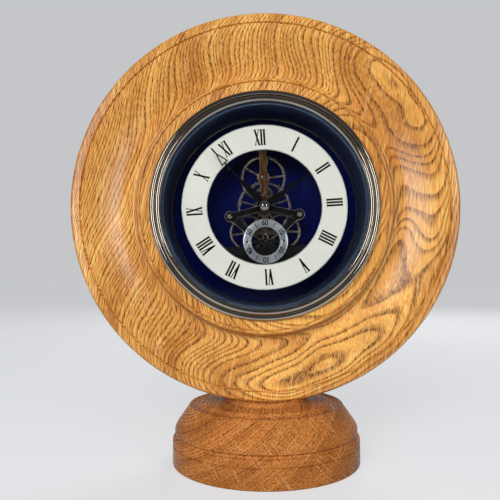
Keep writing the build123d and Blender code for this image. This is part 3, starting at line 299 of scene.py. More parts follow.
def growth_rings():
    """Oak cut from a log: year rings about a leaning, bowed pith, pores along the grain, rays and fibre."""
    tree, given, result = effect_group(
        "growth_rings",
        [
            ("Vector", "Vector", None),
            ("Pith Across", "Float", 0.05),
            ("Pith Lean", "Float", 0.25),
            ("Pith Depth", "Float", -0.16),
            ("Pith Bow", "Float", 1.2),
            ("Ring Width", "Float", 0.001),
            ("Pore Scale", "Float", 900.0),
            ("Pore Spread", "Float", 0.15),
            ("Ray Scale", "Float", 700.0),
        ],
        ["Early", "Pores", "Rays", "Fibre", "Tone"],
    )
    drift = node(tree, "TexNoise", {}, Vector=given["Vector"], Scale=13.0, Detail=1.5)
    push = node(tree, "VectorMath", {"operation": "MULTIPLY_ADD"})
    join(tree, drift.outputs[1], push.inputs[0])
    join(tree, (0.009, 0.009, 0.0), push.inputs[1])
    join(tree, given["Vector"], push.inputs[2])
    axes = node(tree, "SeparateXYZ", {}, Vector=push.outputs[0]).outputs
    lean = sums(tree, "MULTIPLY_ADD", axes[2], given["Pith Lean"], given["Pith Across"])
    across = sums(tree, "SUBTRACT", axes[0], lean)
    bow = sums(tree, "MULTIPLY", sums(tree, "MULTIPLY", axes[2], axes[2]), given["Pith Bow"])
    depth = sums(tree, "ADD", sums(tree, "SUBTRACT", axes[1], given["Pith Depth"]), bow)
    squares = sums(tree, "MULTIPLY_ADD", across, across, sums(tree, "MULTIPLY", depth, depth))
    radius = sums(tree, "SQRT", squares)
    uneven = node(tree, "TexNoise", {"noise_dimensions": "1D"}, W=radius, Scale=260.0, Detail=1.0)
    count = sums(tree, "DIVIDE", radius, given["Ring Width"])
    count = sums(tree, "MULTIPLY_ADD", uneven.outputs[0], 2.2, count)
    phase = sums(tree, "FRACT", count)
    early = sums(tree, "MULTIPLY", fade(tree, phase, 0.0, 0.1), fade(tree, phase, 0.62, 0.12))
    cells = node(
        tree,
        "TexVoronoi",
        {},
        Vector=stretched(tree, given["Vector"], (1.0, 1.0, 0.14)),
        Scale=given["Pore Scale"],
    )
    seen = sums(tree, "MAXIMUM", early, given["Pore Spread"])
    pores = sums(tree, "MULTIPLY", fade(tree, cells.outputs[0], 0.5, 0.22), seen)
    turn = sums(tree, "MULTIPLY", sums(tree, "ARCTAN2", depth, across), 0.15)
    spokes = node(tree, "CombineXYZ", {}, X=turn, Y=sums(tree, "MULTIPLY", radius, 0.05))
    join(tree, sums(tree, "MULTIPLY", axes[2], 0.07), spokes.inputs[2])
    rays = fade(tree, clouds(tree, spokes.outputs[0], given["Ray Scale"], 1.0), 0.58, 0.7)
    fibre = clouds(tree, stretched(tree, given["Vector"], (1.0, 1.0, 0.05)), 1300.0, 3.0)
    broad = clouds(tree, stretched(tree, given["Vector"], (1.0, 1.0, 0.3)), 34.0, 3.0)
    bands = node(tree, "TexNoise", {"noise_dimensions": "1D"}, W=radius, Scale=110.0, Detail=2.0)
    tone = fade(tree, sums(tree, "ADD", broad, bands.outputs[0]), 0.7, 1.3)
    for label, value in zip(("Early", "Pores", "Rays", "Fibre", "Tone"), (early, pores, rays, fibre, tone)):
        join(tree, value, result[label])
    return tree


def handling():
    """Smudges and hairline scratches from use."""
    tree, given, result = effect_group(
        "handling",
        [("Vector", "Vector", None), ("Smudge Scale", "Float", 60.0), ("Scratch Scale", "Float", 900.0)],
        ["Smudges", "Scratches"],
    )
    smudges = node(tree, "TexNoise", {}, Vector=given["Vector"], Scale=given["Smudge Scale"], Detail=4.0)
    join(tree, fade(tree, smudges.outputs[0], 0.4, 0.68), result["Smudges"])
    slanted = node(tree, "Mapping", {}, Vector=given["Vector"])
    slanted.inputs["Rotation"].default_value = (0.4, 0.7, 0.9)
    slanted.inputs["Scale"].default_value = (1.0, 0.05, 0.4)
    lines = node(tree, "TexNoise", {}, Vector=slanted.outputs[0], Scale=given["Scratch Scale"], Detail=2.0)
    join(tree, fade(tree, lines.outputs[0], 0.6, 0.72), result["Scratches"])
    return tree


def lathe_lines():
    """Fine rings left by turning, about the y axis of the given vector."""
    tree, given, result = effect_group(
        "lathe_lines",
        [("Vector", "Vector", None), ("Line Scale", "Float", 2500.0)],
        ["Lines"],
    )
    flat = stretched(tree, given["Vector"], (1.0, 0.0, 1.0))
    radius = node(tree, "VectorMath", {"operation": "LENGTH"})
    join(tree, flat, radius.inputs[0])
    rings = node(
        tree,
        "TexNoise",
        {"noise_dimensions": "1D"},
        W=radius.outputs["Value"],
        Scale=given["Line Scale"],
        Detail=2.0,
    )
    join(tree, rings.outputs[0], result["Lines"])
    return tree


GROWTH_RINGS = growth_rings()
HANDLING = handling()
LATHE_LINES = lathe_lines()


def placed_group(tree, group, **inputs):
    """A node group set in a material."""
    made = tree.nodes.new("ShaderNodeGroup")
    made.node_tree = group
    for name, value in inputs.items():
        join(tree, value, made.inputs[name.replace("_", " ")])
    return made.outputs


def new_finish(name, **plain):
    """A material with its main shader, whose plain values are set on it, and its object coordinates."""
    material = bpy.data.materials.new(name)
    material.use_nodes = True
    tree = material.node_tree
    shader = tree.nodes["Principled BSDF"]
    for label, value in plain.items():
        shader.inputs[label.replace("_", " ")].default_value = value
    place = tree.nodes.new("ShaderNodeTexCoord").outputs["Object"]
    return material, tree, shader, place


def centred(tree, place, centre):
    """Coordinates counted from a point in metres."""
    moved = node(tree, "Mapping", {}, Vector=place)
    moved.inputs["Location"].default_value = [-value for value in centre]
    return moved.outputs[0]


def bump(tree, shader, height, distance, strength=1.0):
    """Gives a shader a relief whose depth is in metres."""
    made = node(tree, "Bump", {}, Height=height, Distance=distance, Strength=strength)
    join(tree, made.outputs[0], shader.inputs["Normal"])


def oak(name, colours, shares, pith, ring_width, pores, ray_scale, grain_turn, coat):
    """Lacquered oak. Colours run pale, deep, ring, ray and pore, and shares ring, ray, pore and fibre."""
    material, tree, shader, place = new_finish(
        name,
        Specular_IOR_Level=0.06,
        Coat_Weight=coat,
        Coat_Roughness=0.2,
    )
    laid = node(tree, "Mapping", {}, Vector=place)
    laid.inputs["Location"].default_value = (0.0, 0.0, -DIAL.z) if grain_turn == 0 else (0.0, 0.0, 0.0)
    laid.inputs["Rotation"].default_value = (radians(grain_turn), 0.0, 0.0)
    across, lean, depth, bow = pith
    rings = placed_group(
        tree,
        GROWTH_RINGS,
        Vector=laid.outputs[0],
        Pith_Across=across,
        Pith_Lean=lean,
        Pith_Depth=depth,
        Pith_Bow=bow,
        Ring_Width=ring_width,
        Pore_Scale=pores[0],
        Pore_Spread=pores[1],
        Ray_Scale=ray_scale,
    )
    ring_share, ray_share, pore_share, fibre_share = shares
    pale, deep, ring, ray, pore = [tint(*colour) for colour in colours]
    colour = blend(tree, rings["Tone"], pale, deep)
    colour = blend(tree, sums(tree, "MULTIPLY", rings["Early"], ring_share), colour, ring)
    colour = blend(tree, sums(tree, "MULTIPLY", rings["Rays"], ray_share), colour, ray)
    fibre = fade(tree, rings["Fibre"], 0.28, 0.72)
    colour = blend(tree, fibre_share, colour, fibre, "OVERLAY")
    colour = blend(tree, sums(tree, "MULTIPLY", rings["Pores"], pore_share), colour, pore)
    join(tree, colour, shader.inputs["Base Color"])
    matt = sums(tree, "MULTIPLY_ADD", rings["Pores"], 0.2, between(tree, fibre, 0.27, 0.4))
    join(tree, matt, shader.inputs["Roughness"])
    relief = sums(tree, "MULTIPLY_ADD", rings["Pores"], -1.0, sums(tree, "MULTIPLY", fibre, 0.3))
    bump(tree, shader, relief, 0.00015, 0.8)
    return material


def disc_oak():
    """Honey oak with its grain upright and the pith in front of the face, right of the middle."""
    colours = ((242, 180, 92), (196, 128, 56), (142, 84, 32), (246, 196, 122), (72, 40, 16))
    shares = (0.7, 0.35, 0.9, 0.36)
    pith = (0.048, 0.25, -0.16, 1.25)
    return oak("disc_oak", colours, shares, pith, 0.00105, (950.0, 0.15), 700.0, 0, 1.0)


def base_oak():
    """Redder oak with its grain running front to back."""
    colours = ((208, 132, 66), (170, 102, 48), (134, 78, 36), (216, 158, 98), (44, 22, 10))
    shares = (0.6, 0.5, 0.85, 0.3)
    pith = (-0.10, 0.05, -0.15, 0.6)
    return oak("base_oak", colours, shares, pith, 0.0012, (820.0, 0.35), 1200.0, 90, 0.03)


def dowel_wood():
    """Plain pale beech, seen only when the clock is taken apart."""
    material, tree, shader, place = new_finish("dowel_wood", Roughness=0.6)
    fibre = clouds(tree, stretched(tree, place, (1.0, 1.0, 0.06)), 900.0, 3.0)
    join(tree, blend(tree, fibre, tint(214, 180, 132), tint(184, 146, 98)), shader.inputs["Base Color"])
    bump(tree, shader, fibre, 0.0001)
    return material


def worn_metal(name, bright, dull, roughness, smudge_scale=60.0, **plain):
    """A metal whose polish varies with smudges and hairlines."""
    material, tree, shader, place = new_finish(name, Metallic=1.0, **plain)
    marks = placed_group(tree, HANDLING, Vector=place, Smudge_Scale=smudge_scale)
    join(tree, blend(tree, marks["Smudges"], tint(*bright), tint(*dull)), shader.inputs["Base Color"])
    polish = between(tree, marks["Smudges"], *roughness)
    join(tree, sums(tree, "MULTIPLY_ADD", marks["Scratches"], 0.06, polish), shader.inputs["Roughness"])
    bump(tree, shader, marks["Scratches"], 0.00001, 0.4)
    return material


def chrome():
    """Bright chrome with faint polishing marks."""
    return worn_metal("chrome", (184, 176, 164), (168, 161, 151), (0.04, 0.09))


def steel():
    """Polished steel for arbors, pillars and screws."""
    return worn_metal("steel", (214, 212, 208), (170, 168, 166), (0.12, 0.24), 300.0)


def bronze():
    """Brown bronzed plate."""
    return worn_metal("bronze", (118, 84, 52), (88, 61, 38), (0.3, 0.42), 400.0)


def wheel_brass():
    """Dulled brass of the wheels, the rear frame and the contacts."""
    return worn_metal("wheel_brass", (152, 138, 120), (108, 96, 82), (0.26, 0.38), 400.0)


def coil_copper():
    """Enamelled copper wire, wound across the coil."""
    material, tree, shader, place = new_finish("coil_copper", Metallic=0.9, Roughness=0.3)
    turns = node(tree, "TexWave", {"bands_direction": "X"}, Vector=place, Scale=700.0, Distortion=0.6)
    colour = blend(tree, turns.outputs[1], tint(120, 62, 30), tint(196, 116, 66))
    join(tree, colour, shader.inputs["Base Color"])
    bump(tree, shader, turns.outputs[1], 0.0001)
    return material


def clear_lens():
    """Clear crowned lens that lets the lamps through to the dial."""
    material, tree, shader, place = new_finish("clear_lens", Transmission_Weight=1.0, IOR=1.2)
    marks = placed_group(tree, HANDLING, Vector=place, Smudge_Scale=25.0)
    colour = blend(tree, marks["Smudges"], tint(252, 253, 253), tint(247, 249, 250))
    join(tree, colour, shader.inputs["Base Color"])
    join(tree, between(tree, marks["Smudges"], 0.0, 0.02), shader.inputs["Roughness"])
    path = tree.nodes.new("ShaderNodeLightPath").outputs
    passing = sums(tree, "MAXIMUM", path["Is Shadow Ray"], path["Is Diffuse Ray"])
    mixed = tree.nodes.new("ShaderNodeMixShader")
    open_air = tree.nodes.new("ShaderNodeBsdfTransparent")
    join(tree, passing, mixed.inputs[0])
    join(tree, shader.outputs[0], mixed.inputs[1])
    join(tree, open_air.outputs[0], mixed.inputs[2])
    join(tree, mixed.outputs[0], tree.nodes["Material Output"].inputs["Surface"])
    return material


def painted(name, first, second, roughness, scale, relief, gloss):
    """A painted, lacquered or moulded surface with slight blots, grain and handling marks."""
    material, tree, shader, place = new_finish(name, Specular_IOR_Level=gloss)
    grain = clouds(tree, place, scale, 4.0)
    marks = placed_group(tree, HANDLING, Vector=place)
    join(tree, blend(tree, grain, tint(*first), tint(*second)), shader.inputs["Base Color"])
    sheen = between(tree, marks["Smudges"], *roughness)
    join(tree, sums(tree, "MULTIPLY_ADD", marks["Scratches"], 0.05, sheen), shader.inputs["Roughness"])
    bump(tree, shader, clouds(tree, place, scale * 8, 2.0), relief)
    return material


def grey_metal():
    """Dark satin grey of the can, with turning lines."""
    material, tree, shader, place = new_finish("grey_metal", Metallic=0.75)
    about = centred(tree, place, DIAL)
    lines = placed_group(tree, LATHE_LINES, Vector=about)["Lines"]
    marks = placed_group(tree, HANDLING, Vector=place)
    join(tree, blend(tree, lines, tint(84, 102, 130), tint(102, 122, 152)), shader.inputs["Base Color"])
    join(tree, between(tree, marks["Smudges"], 0.3, 0.42), shader.inputs["Roughness"])
    bump(tree, shader, lines, 0.00001)
    return material


def silvered():
    """Brushed silver of the seconds ring."""
    material, tree, shader, place = new_finish("silvered", Metallic=0.85)
    about = centred(tree, place, SECONDS_CENTRE)
    lines = placed_group(tree, LATHE_LINES, Vector=about, Line_Scale=4000.0)["Lines"]
    cloudy = fade(tree, clouds(tree, place, 90.0, 2.0), 0.35, 0.65)
    colour = blend(tree, cloudy, tint(164, 169, 178), tint(222, 224, 228))
    colour = blend(tree, sums(tree, "MULTIPLY", lines, 0.2), colour, tint(96, 101, 110))
    join(tree, colour, shader.inputs["Base Color"])
    join(tree, between(tree, lines, 0.22, 0.36), shader.inputs["Roughness"])
    bump(tree, shader, lines, 0.000015)
    return material


SECONDS_DROP = 23.0
SECONDS_CENTRE = on_dial(0, 0, -SECONDS_DROP).translation
PAINTS = {
    "band_rubber": ((26, 26, 27), (36, 36, 37), (0.7, 0.85), 900.0, 0.00006, 0.4),
    "navy_lacquer": ((1, 7, 56), (4, 13, 74), (0.45, 0.55), 80.0, 0.000004, 0.06),
    "black_lacquer": ((8, 8, 8), (15, 14, 14), (0.16, 0.28), 300.0, 0.000006, 0.4),
    "black_hand": ((4, 4, 4), (9, 9, 9), (0.45, 0.58), 700.0, 0.00001, 0.08),
    "black_plastic": ((8, 8, 9), (14, 14, 15), (0.42, 0.52), 1400.0, 0.00003, 0.12),
    "board_green": ((18, 74, 42), (30, 98, 58), (0.35, 0.5), 300.0, 0.00002, 0.5),
    "cell_wrap": ((52, 55, 58), (66, 69, 72), (0.22, 0.34), 160.0, 0.000006, 0.5),
    "ivory_enamel": ((222, 222, 211), (214, 214, 202), (0.34, 0.42), 500.0, 0.00001, 0.35),
}
FINISHES = {name: painted(name, *values) for name, values in PAINTS.items()}
for make in (
    disc_oak,
    base_oak,
    dowel_wood,
    chrome,
    steel,
    bronze,
    wheel_brass,
    coil_copper,
    clear_lens,
    grey_metal,
    silvered,
):
    FINISHES[make.__name__] = make()

# Each solid takes the finish that lists it here, and steel if none does
NODE_SLOTS = {
    "disc_oak": ["oak_disc"],
    "base_oak": ["oak_base"],
    "dowel_wood": ["joint_dowel"],
    "chrome": ["bezel", "dome_nut", "pivot_cap", "ball_nuts"],
    "clear_lens": ["lens"],
    "grey_metal": ["insert_can"],
    "band_rubber": ["grip_band"],
    "navy_lacquer": ["back_plate"],
    "ivory_enamel": ["chapter_ring"],
    "black_lacquer": ["bridge", "ring_screws"],
    "bronze": ["top_bar"],
    "wheel_brass": [
        "top_wheel",
        "centre_wheel",
        "hour_wheel",
        "motion_wheel",
        "third_wheel",
        "seconds_wheel",
        "intermediate_wheel",
        "rear_frame",
        "contacts",
    ],
    "silvered": ["seconds_ring"],
    "black_hand": ["minute_hand", "hour_hand", "seconds_hand"],
    "black_plastic": ["drive_housing", "setting_knob"],
    "coil_copper": ["coil"],
    "board_green": ["circuit_board"],
    "cell_wrap": ["battery"],
}
slot_of = {name: slot for slot, names in NODE_SLOTS.items() for name in names}
for name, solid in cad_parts.items():
    solid.data.materials.clear()
    solid.data.materials.append(FINISHES[slot_of.get(name, "steel")])


# Turned wood
GROOVE_HALF = 0.6
EDGE_BREAK = 0.2


def groove(place, low, high, count=4):
    """A small round-bottomed groove between two edges, as (radius, depth) points."""
    return bend(low, place, place, high, count)


def oak_disc():
    """The disc: grooved rim, ogee, valley, bead and a flat ring round the bezel."""
    bore = 68.4
    ring_edge = BEZEL_RADIUS + 6.5
    bead_edge = ring_edge + GROOVE_HALF + 1.9
    valley = (bead_edge + 3.2, 10.8)
    rim_groove = DISC_RADIUS - 6.6
    ogee_top = (rim_groove - GROOVE_HALF, 0.33)
    middle = ((valley[0] + ogee_top[0]) / 2, valley[1] / 2)
    back = DISC_THICKNESS
    rim = 2.0
    outline = [(bore, back), (bore, EDGE_BREAK), (bore + EDGE_BREAK, 0)]
    outline += groove((ring_edge, 1.5), (ring_edge - GROOVE_HALF, 0), (ring_edge + GROOVE_HALF, 0))
    outline += rounded((ring_edge + GROOVE_HALF, 0), (bead_edge, 0), (bead_edge, 1.9), 8)[1:]
    outline += bend((bead_edge, 1.9), (bead_edge, 6.6), (valley[0] - 1.8, 10.53), valley)[1:]
    outline += bend(valley, (valley[0] + 4.6, 11.49), (middle[0] - 5.4, 7.75), middle, 20)[1:]
    outline += bend(middle, (middle[0] + 5.4, 3.05), (ogee_top[0] - 5.6, 0.61), ogee_top, 20)[1:]
    outline += groove((rim_groove, 1.6), ogee_top, (rim_groove + GROOVE_HALF, 0))[1:]
    outline += rounded((DISC_RADIUS - rim, 0), (DISC_RADIUS, 0), (DISC_RADIUS, rim))
    outline += rounded((DISC_RADIUS, back - rim), (DISC_RADIUS, back), (DISC_RADIUS - rim, back))
    piece(turned(outline, 288), "turned_disc", "disc_oak", stands_for="oak_disc")


def oak_base():
    """The base: two grooved tiers, a nearly straight cone, a coved top and a saddle that takes the disc."""
    groove_height = 12.9
    tier = 18.0
    shoulder = 2.2
    cone = 60.9
    cone_foot = 20.4
    waist = (56.55, 30.5)
    top = (51.1, 38.2)
    cove_bottom = (46.7, 37.0)
    cove_inner = 43.0
    step = 1.8
    pad = 28.0
    outline = [(0, 0), (BASE_RADIUS - 1.0, 0)]
    outline += rounded((BASE_RADIUS - 1.0, 0), (BASE_RADIUS, 0), (BASE_RADIUS, 1.0))[1:]
    outline += groove(
        (BASE_RADIUS - 1.5, groove_height),
        (BASE_RADIUS, groove_height - GROOVE_HALF),
        (BASE_RADIUS, groove_height + GROOVE_HALF),
    )
    shoulder_top = (BASE_RADIUS - shoulder, tier)
    outline += rounded((BASE_RADIUS, tier - shoulder), (BASE_RADIUS, tier), shoulder_top)
    outline += groove((cone - 1.6, 19.2), shoulder_top, (cone, cone_foot))[1:]
    outline += bend((cone, cone_foot + 2.4), (cone - 0.25, 25.3), (waist[0] + 1.25, 28.7), waist, 10)
    outline += bend(waist, (waist[0] - 1.55, 32.75), (top[0] + 1.7, 35.7), top, 10)[1:]
    lip = (top[0] - 1.0, top[1])
    lip_height = top[1] + 0.02
    outline += rounded((top[0] - EDGE_BREAK, lip_height), (top[0] - 0.6, lip_height), lip)
    step_top = top[1] + step
    outline += arc(lip, cove_bottom, (cove_inner, top[1]), 12)[1:]
    outline += rounded((cove_inner, top[1]), (cove_inner, step_top), (cove_inner - step, step_top))[1:]
    outline += [(pad + 0.6, step_top), (pad, step_top + 0.4)]
    rings = 14
    outline += [(pad * (1 - ring / rings), 60.0) for ring in range(rings + 1)]
    shape = spun(outline, 240, Matrix.Scale(MM, 4), closed=False)
    seat = (DISC_RADIUS + 0.05) * MM
    for vert in shape.verts:
        if vert.co.z > 50 * MM:
            vert.co.z = DIAL.z - sqrt(seat**2 - vert.co.x**2)
    piece(shape, "turned_base", "base_oak", stands_for="oak_base")


# Insert case
def bezel():
    """Chromed bezel: an outer roll, a fine line and an inner bead that laps the lens."""
    lip = 67.3
    line = (BEZEL_RADIUS + lip) / 2
    line_depth = -2.3
    gap = 0.12
    inner = BEZEL_RADIUS - 1.95
    seat = 69.05
    seat_front = -2.65
    seat_back = -1.05
    outline = [(BEZEL_RADIUS, 0)]
    outline += arc((BEZEL_RADIUS, -1.1), ((BEZEL_RADIUS + line) / 2, -3.4), (line + gap, line_depth), 22)
    outline += arc((line - gap, line_depth), ((lip + line) / 2, -5.0), (lip, -3.8), 22)
    outline += [(lip, seat_front), (seat, seat_front), (seat, seat_back), (inner, seat_back), (inner, 0)]
    piece(turned(outline, 288), "chrome_bezel", "chrome", stands_for="bezel")


def lens():
    """Crowned lens with a flat land under the bezel's lip."""
    land = 66.3
    edge = 69.0
    crown = 1.3
    steps = [land * step / 20 for step in range(21)]
    front = [(radius, -2.6 - crown * (1 - (radius / land) ** 2)) for radius in steps]
    back = [(radius, -1.0 - crown * (1 - (radius / land) ** 2)) for radius in reversed(steps)]
    outline = front + [(edge - 0.2, -2.6), (edge, -2.4), (edge, -1.2), (edge - 0.2, -1.0)] + back
    piece(turned(outline, 192), "crowned_lens", "clear_lens", stands_for="lens")


def insert_can():
    """The insert's tube with its flange, and the thin bead where the plate is set in."""
    inner = 65.7
    outer = 66.7
    back = depth_of("insert_can")[1]
    outline = [(72.7, -1.0), (73.0, -0.7), (73.0, 0), (outer, 0), (outer, back), (inner, back)]
    outline += [(inner, -0.6), (inner + 0.4, -1.0)]
    piece(turned(outline, 240), "satin_can", "grey_metal", stands_for="insert_can")
    plate = depth_of("back_plate")[0]
    bead = arc((inner - 0.02, plate - 0.9), (inner - 0.8, plate - 0.45), (inner - 0.02, plate), 8)
    piece(turned(bead, 240), "plate_bead", "chrome")


# Dial
CHAPTER_OUTER = 55.3
CHAPTER_INNER = 38.3
NUMERAL_HEIGHT = 10.7
NUMERAL_THICKNESS = 0.14
INK_SINK = 0.02
FIGURE_HEIGHT = 5.2
FIGURE_THICKNESS = 0.06
FIGURE_RADIUS = 12.2
FIGURE_NARROWING = 0.82
STROKE = 1.25
HAIR = 0.55
SERIF = 0.42
STEP = 1.95
NUMERALS = ("XII", "I", "II", "III", "IIII", "V", "VI", "VII", "VIII", "IX", "X", "XI")


def serif(shape, middle, width, level, thickness):
    """A thin foot or head on a stroke."""
    half = width / 2
    corners = ((-half, 0), (half, 0), (half, SERIF), (-half, SERIF))
    slab(shape, [(middle + across, level + up) for across, up in corners], thickness)


def roman(shape, text, thickness):
    """Adds a condensed Roman numeral centred on the origin."""
    widths = {"I": STEP, "V": 3.7, "X": 3.9}
    low = -NUMERAL_HEIGHT / 2
    high = NUMERAL_HEIGHT / 2
    foot = low + SERIF
    head = high - SERIF
    thick = STROKE / 2
    thin = HAIR / 2
    left = -sum(widths[letter] for letter in text) / 2
    for letter in text:
        width = widths[letter]
        middle = left + width / 2
        reach = width / 2 - 0.75
        if letter == "I":
            stroke = ((-thick, foot), (thick, foot), (thick, head), (-thick, head))
            slab(shape, [(middle + across, up) for across, up in stroke], thickness)
            serif(shape, middle, STEP - 0.2, low, thickness)
            serif(shape, middle, STEP - 0.2, head, thickness)
        elif letter == "V":
            inner = low + (head - low) * (thick + thin) / (2 * reach)
            slab(
                shape,
                [
                    (middle - reach - thick, head),
                    (middle - thick, low),
                    (middle + thin, low),
                    (middle + reach + thin, head),
                    (middle + reach - thin, head),
                    (middle + (thick - thin) / 2, inner + 1.2),
                    (middle - reach + thick, head),
                ],
                thickness,
            )
            serif(shape, middle - reach, 1.7, head, thickness)
            serif(shape, middle + reach, 1.2, head, thickness)
        else:
            slab(
                shape,
                [
                    (middle - reach - thick, head),
                    (middle + reach - thick, foot),
                    (middle + reach + thick, foot),
                    (middle - reach + thick, head),
                ],
                thickness,
            )
            slope = reach / head
            near = (thick - thin) / (2 * slope)
            far = (thick + thin) / (2 * slope)
            for side in (1, -1):
                arm = [
                    (middle + side * (reach - thin), side * head),
                    (middle + side * (reach + thin), side * head),
                    (middle + side * (near * slope + thin), side * near),
                    (middle + side * (far * slope - thin), side * far),
                ]
                slab(shape, arm, thickness)
            for level in (low, head):
                end = -1 if level == head else 1
                serif(shape, middle + end * reach, 1.7, level, thickness)
                serif(shape, middle - end * reach, 1.2, level, thickness)
        left += width


def chapter_ring():
    """Ivory ring with fine metal edges and raised black numerals."""
    front, back = depth_of("chapter_ring")
    break_edge = 0.15
    outline = [
        (CHAPTER_INNER, back),
        (CHAPTER_INNER, front + break_edge),
        (CHAPTER_INNER + break_edge, front),
        (CHAPTER_OUTER - break_edge, front),
        (CHAPTER_OUTER, front + break_edge),
        (CHAPTER_OUTER, back),
    ]
    piece(turned(outline, 240), "ivory_ring", "ivory_enamel", stands_for="chapter_ring")
    for name, edge, inward in (("outer_edge", CHAPTER_OUTER, -1), ("inner_edge", CHAPTER_INNER, 1)):
        start = (edge - inward * 0.12, front + 0.3)
        top = (edge + inward * 0.18, front - 0.16)
        end = (edge + inward * 0.48, front + 0.02)
        piece(turned(arc(start, top, end, 8), 240), "chapter_" + name, "silvered")
    numerals = bmesh.new()
    for hour, text in enumerate(NUMERALS):
        single = bmesh.new()
        roman(single, text, NUMERAL_THICKNESS)
        middle = (CHAPTER_OUTER + CHAPTER_INNER) / 2
        place = on_dial(front + INK_SINK) @ Matrix.Rotation(radians(NUMERAL_TURN - 30 * hour), 4, "Z")
        add_copy(numerals, single, place @ Matrix.Translation((0, middle, 0)))
    bmesh.ops.recalc_face_normals(numerals, faces=numerals.faces)
    piece(numerals, "hour_numerals", "black_hand")


def seconds_ring():
    """Silvered ring with its figures and four strokes between them."""
    front = depth_of("seconds_ring")[0]
    piece(softened("seconds_ring", 0.12), "silver_ring", "silvered", stands_for="seconds_ring")
    marks = bmesh.new()
    centre = on_dial(front + INK_SINK, 0, -SECONDS_DROP)
    narrowed = Matrix.Diagonal((FIGURE_NARROWING, 1.0, 1.0, 1.0))
    for number in range(6):
        turn = Matrix.Rotation(radians(-60 * number), 4, "Z")
        place = centre @ turn @ Matrix.Translation((0, FIGURE_RADIUS, 0)) @ narrowed
        lettering(marks, str(number * 10 or 60), FIGURE_HEIGHT, FIGURE_THICKNESS, place)
    for stroke in (1, 5, 7, 11):
        single = bmesh.new()
        slab(single, [(-0.22, 10.4), (0.22, 10.4), (0.22, 13.8), (-0.22, 13.8)], 0.08)
        add_copy(marks, single, centre @ Matrix.Rotation(radians(-30 * stroke), 4, "Z"))
    bmesh.ops.recalc_face_normals(marks, faces=marks.faces)
    piece(marks, "seconds_figures", "black_hand")


# Movement
PILLAR_SPREAD = 23.0
PILLAR_DROP = 5.7
SOFTENED = {
    "top_bar": (0.3, "bronze", CASE, "steel"),
    "bridge": (0.3, "black_lacquer", CASE, "silvered"),
    "top_wheel": (0.1, "wheel_brass", "top_works", "steel"),
    "centre_wheel": (0.1, "wheel_brass", "minute_works", "steel"),
    "third_wheel": (0.1, "wheel_brass", "third_works", "steel"),
    "intermediate_wheel": (0.1, "wheel_brass", "intermediate_works", "steel"),
    "minute_hand": (0.1, "black_hand", "minute_works", None),
    "hour_hand": (0.1, "black_hand", "hour_works", None),
    "seconds_hand": (0.1, "black_hand", "seconds_works", None),
    "rear_screws": (0.15, "steel", CASE, None),
    "ring_screws": (0.1, "black_lacquer", CASE, None),
    "setting_knob": (0.25, "black_plastic", "minute_works", None),
    "back_plate": (0.2, "navy_lacquer", CASE, None),
    "drive_housing": (0.25, "black_plastic", CASE, None),
}


def dome_nut():
    """Polished dome over the minute hand."""
    front, back = depth_of("dome_nut")
    radius = 3.7
    rise = back - front
    handle = 0.55
    start = (radius, back - 0.15)
    outline = [(0, back), (radius - 0.1, back), start]
    outline += bend(start, (radius, back - rise * handle), (radius * handle, front), (0, front), 16)[1:]
    piece(turned(outline, 64), "polished_dome", "chrome", "minute_works", "dome_nut")


def ball_nuts():
    """Ball-headed nuts on the two pillars, on thin washers."""
    front, back = depth_of("ball_nuts")
    radius = 2.2
    neck = 2.1
    centre = front + radius
    foot = sqrt(radius**2 - 1.5**2)
    shape = bmesh.new()
    for side in (-PILLAR_SPREAD, PILLAR_SPREAD):
        washer = [(0, -back), (neck - 0.15, -back), (neck, -back + 0.15), (neck, -back + 1.1)]
        outline = washer + [(1.5, -centre - foot)]
        angles = [radians(-43 + 133 * step / 18) for step in range(1, 19)]
        outline += [(radius * cos(angle), -centre + radius * sin(angle)) for angle in angles]
        single = spun(outline, 48, Matrix.Identity(4), closed=False)
        add_copy(shape, single, on_dial(0, side, -PILLAR_DROP))
    piece(shape, "polished_balls", "chrome", stands_for="ball_nuts")


def battery():
    """Plain wrapped cell with crimped ends and a bright cap."""
    radius = 7.2
    half = 24.75
    depth = 31.55
    across = -0.5
    drop = 36.0
    place = on_dial(depth, across, -drop) @ Matrix.Rotation(radians(90), 4, "Y")
    sleeve = [(radius - 1.4, -half + 0.3), (radius - 0.7, -half)]
    sleeve += rounded((radius - 0.7, -half), (radius, -half), (radius, -half + 0.7))[1:]
    sleeve += rounded((radius, half - 0.9), (radius, half), (radius - 0.9, half))
    sleeve += [(radius - 1.5, half - 0.2), (radius - 1.5, -half + 0.3)]
    piece(spun(sleeve, 64, place, closed=False), "cell_sleeve", "cell_wrap", "cell", "battery")
    cap = [(0, -half + 0.1), (radius - 1.5, -half + 0.1), (radius - 1.5, half - 0.4), (2.9, half - 0.4)]
    cap += rounded((2.7, half - 0.4), (2.7, half + 1.0), (2.1, half + 1.0)) + [(0, half + 1.0)]
    piece(spun(cap, 64, place, closed=False), "cell_ends", "steel", "cell")


oak_disc()
oak_base()
bezel()
lens()
insert_can()
chapter_ring()
seconds_ring()
for name, (width, slot, body, edge_slot) in SOFTENED.items():
    piece(softened(name, width), name + "_soft", slot, body, name, edge_slot)
dome_nut()
ball_nuts()
battery()


# Camera at the photograph's viewpoint
CAMERA_PLACE = Vector((-3.5, -417.3, 126.7)) * MM
YAW, PITCH, ROLL = radians(0.89), radians(1.99), radians(0.4)
FOCAL_PIXELS = 611
PICTURE_PIXELS = 500
SENSOR = 36.0


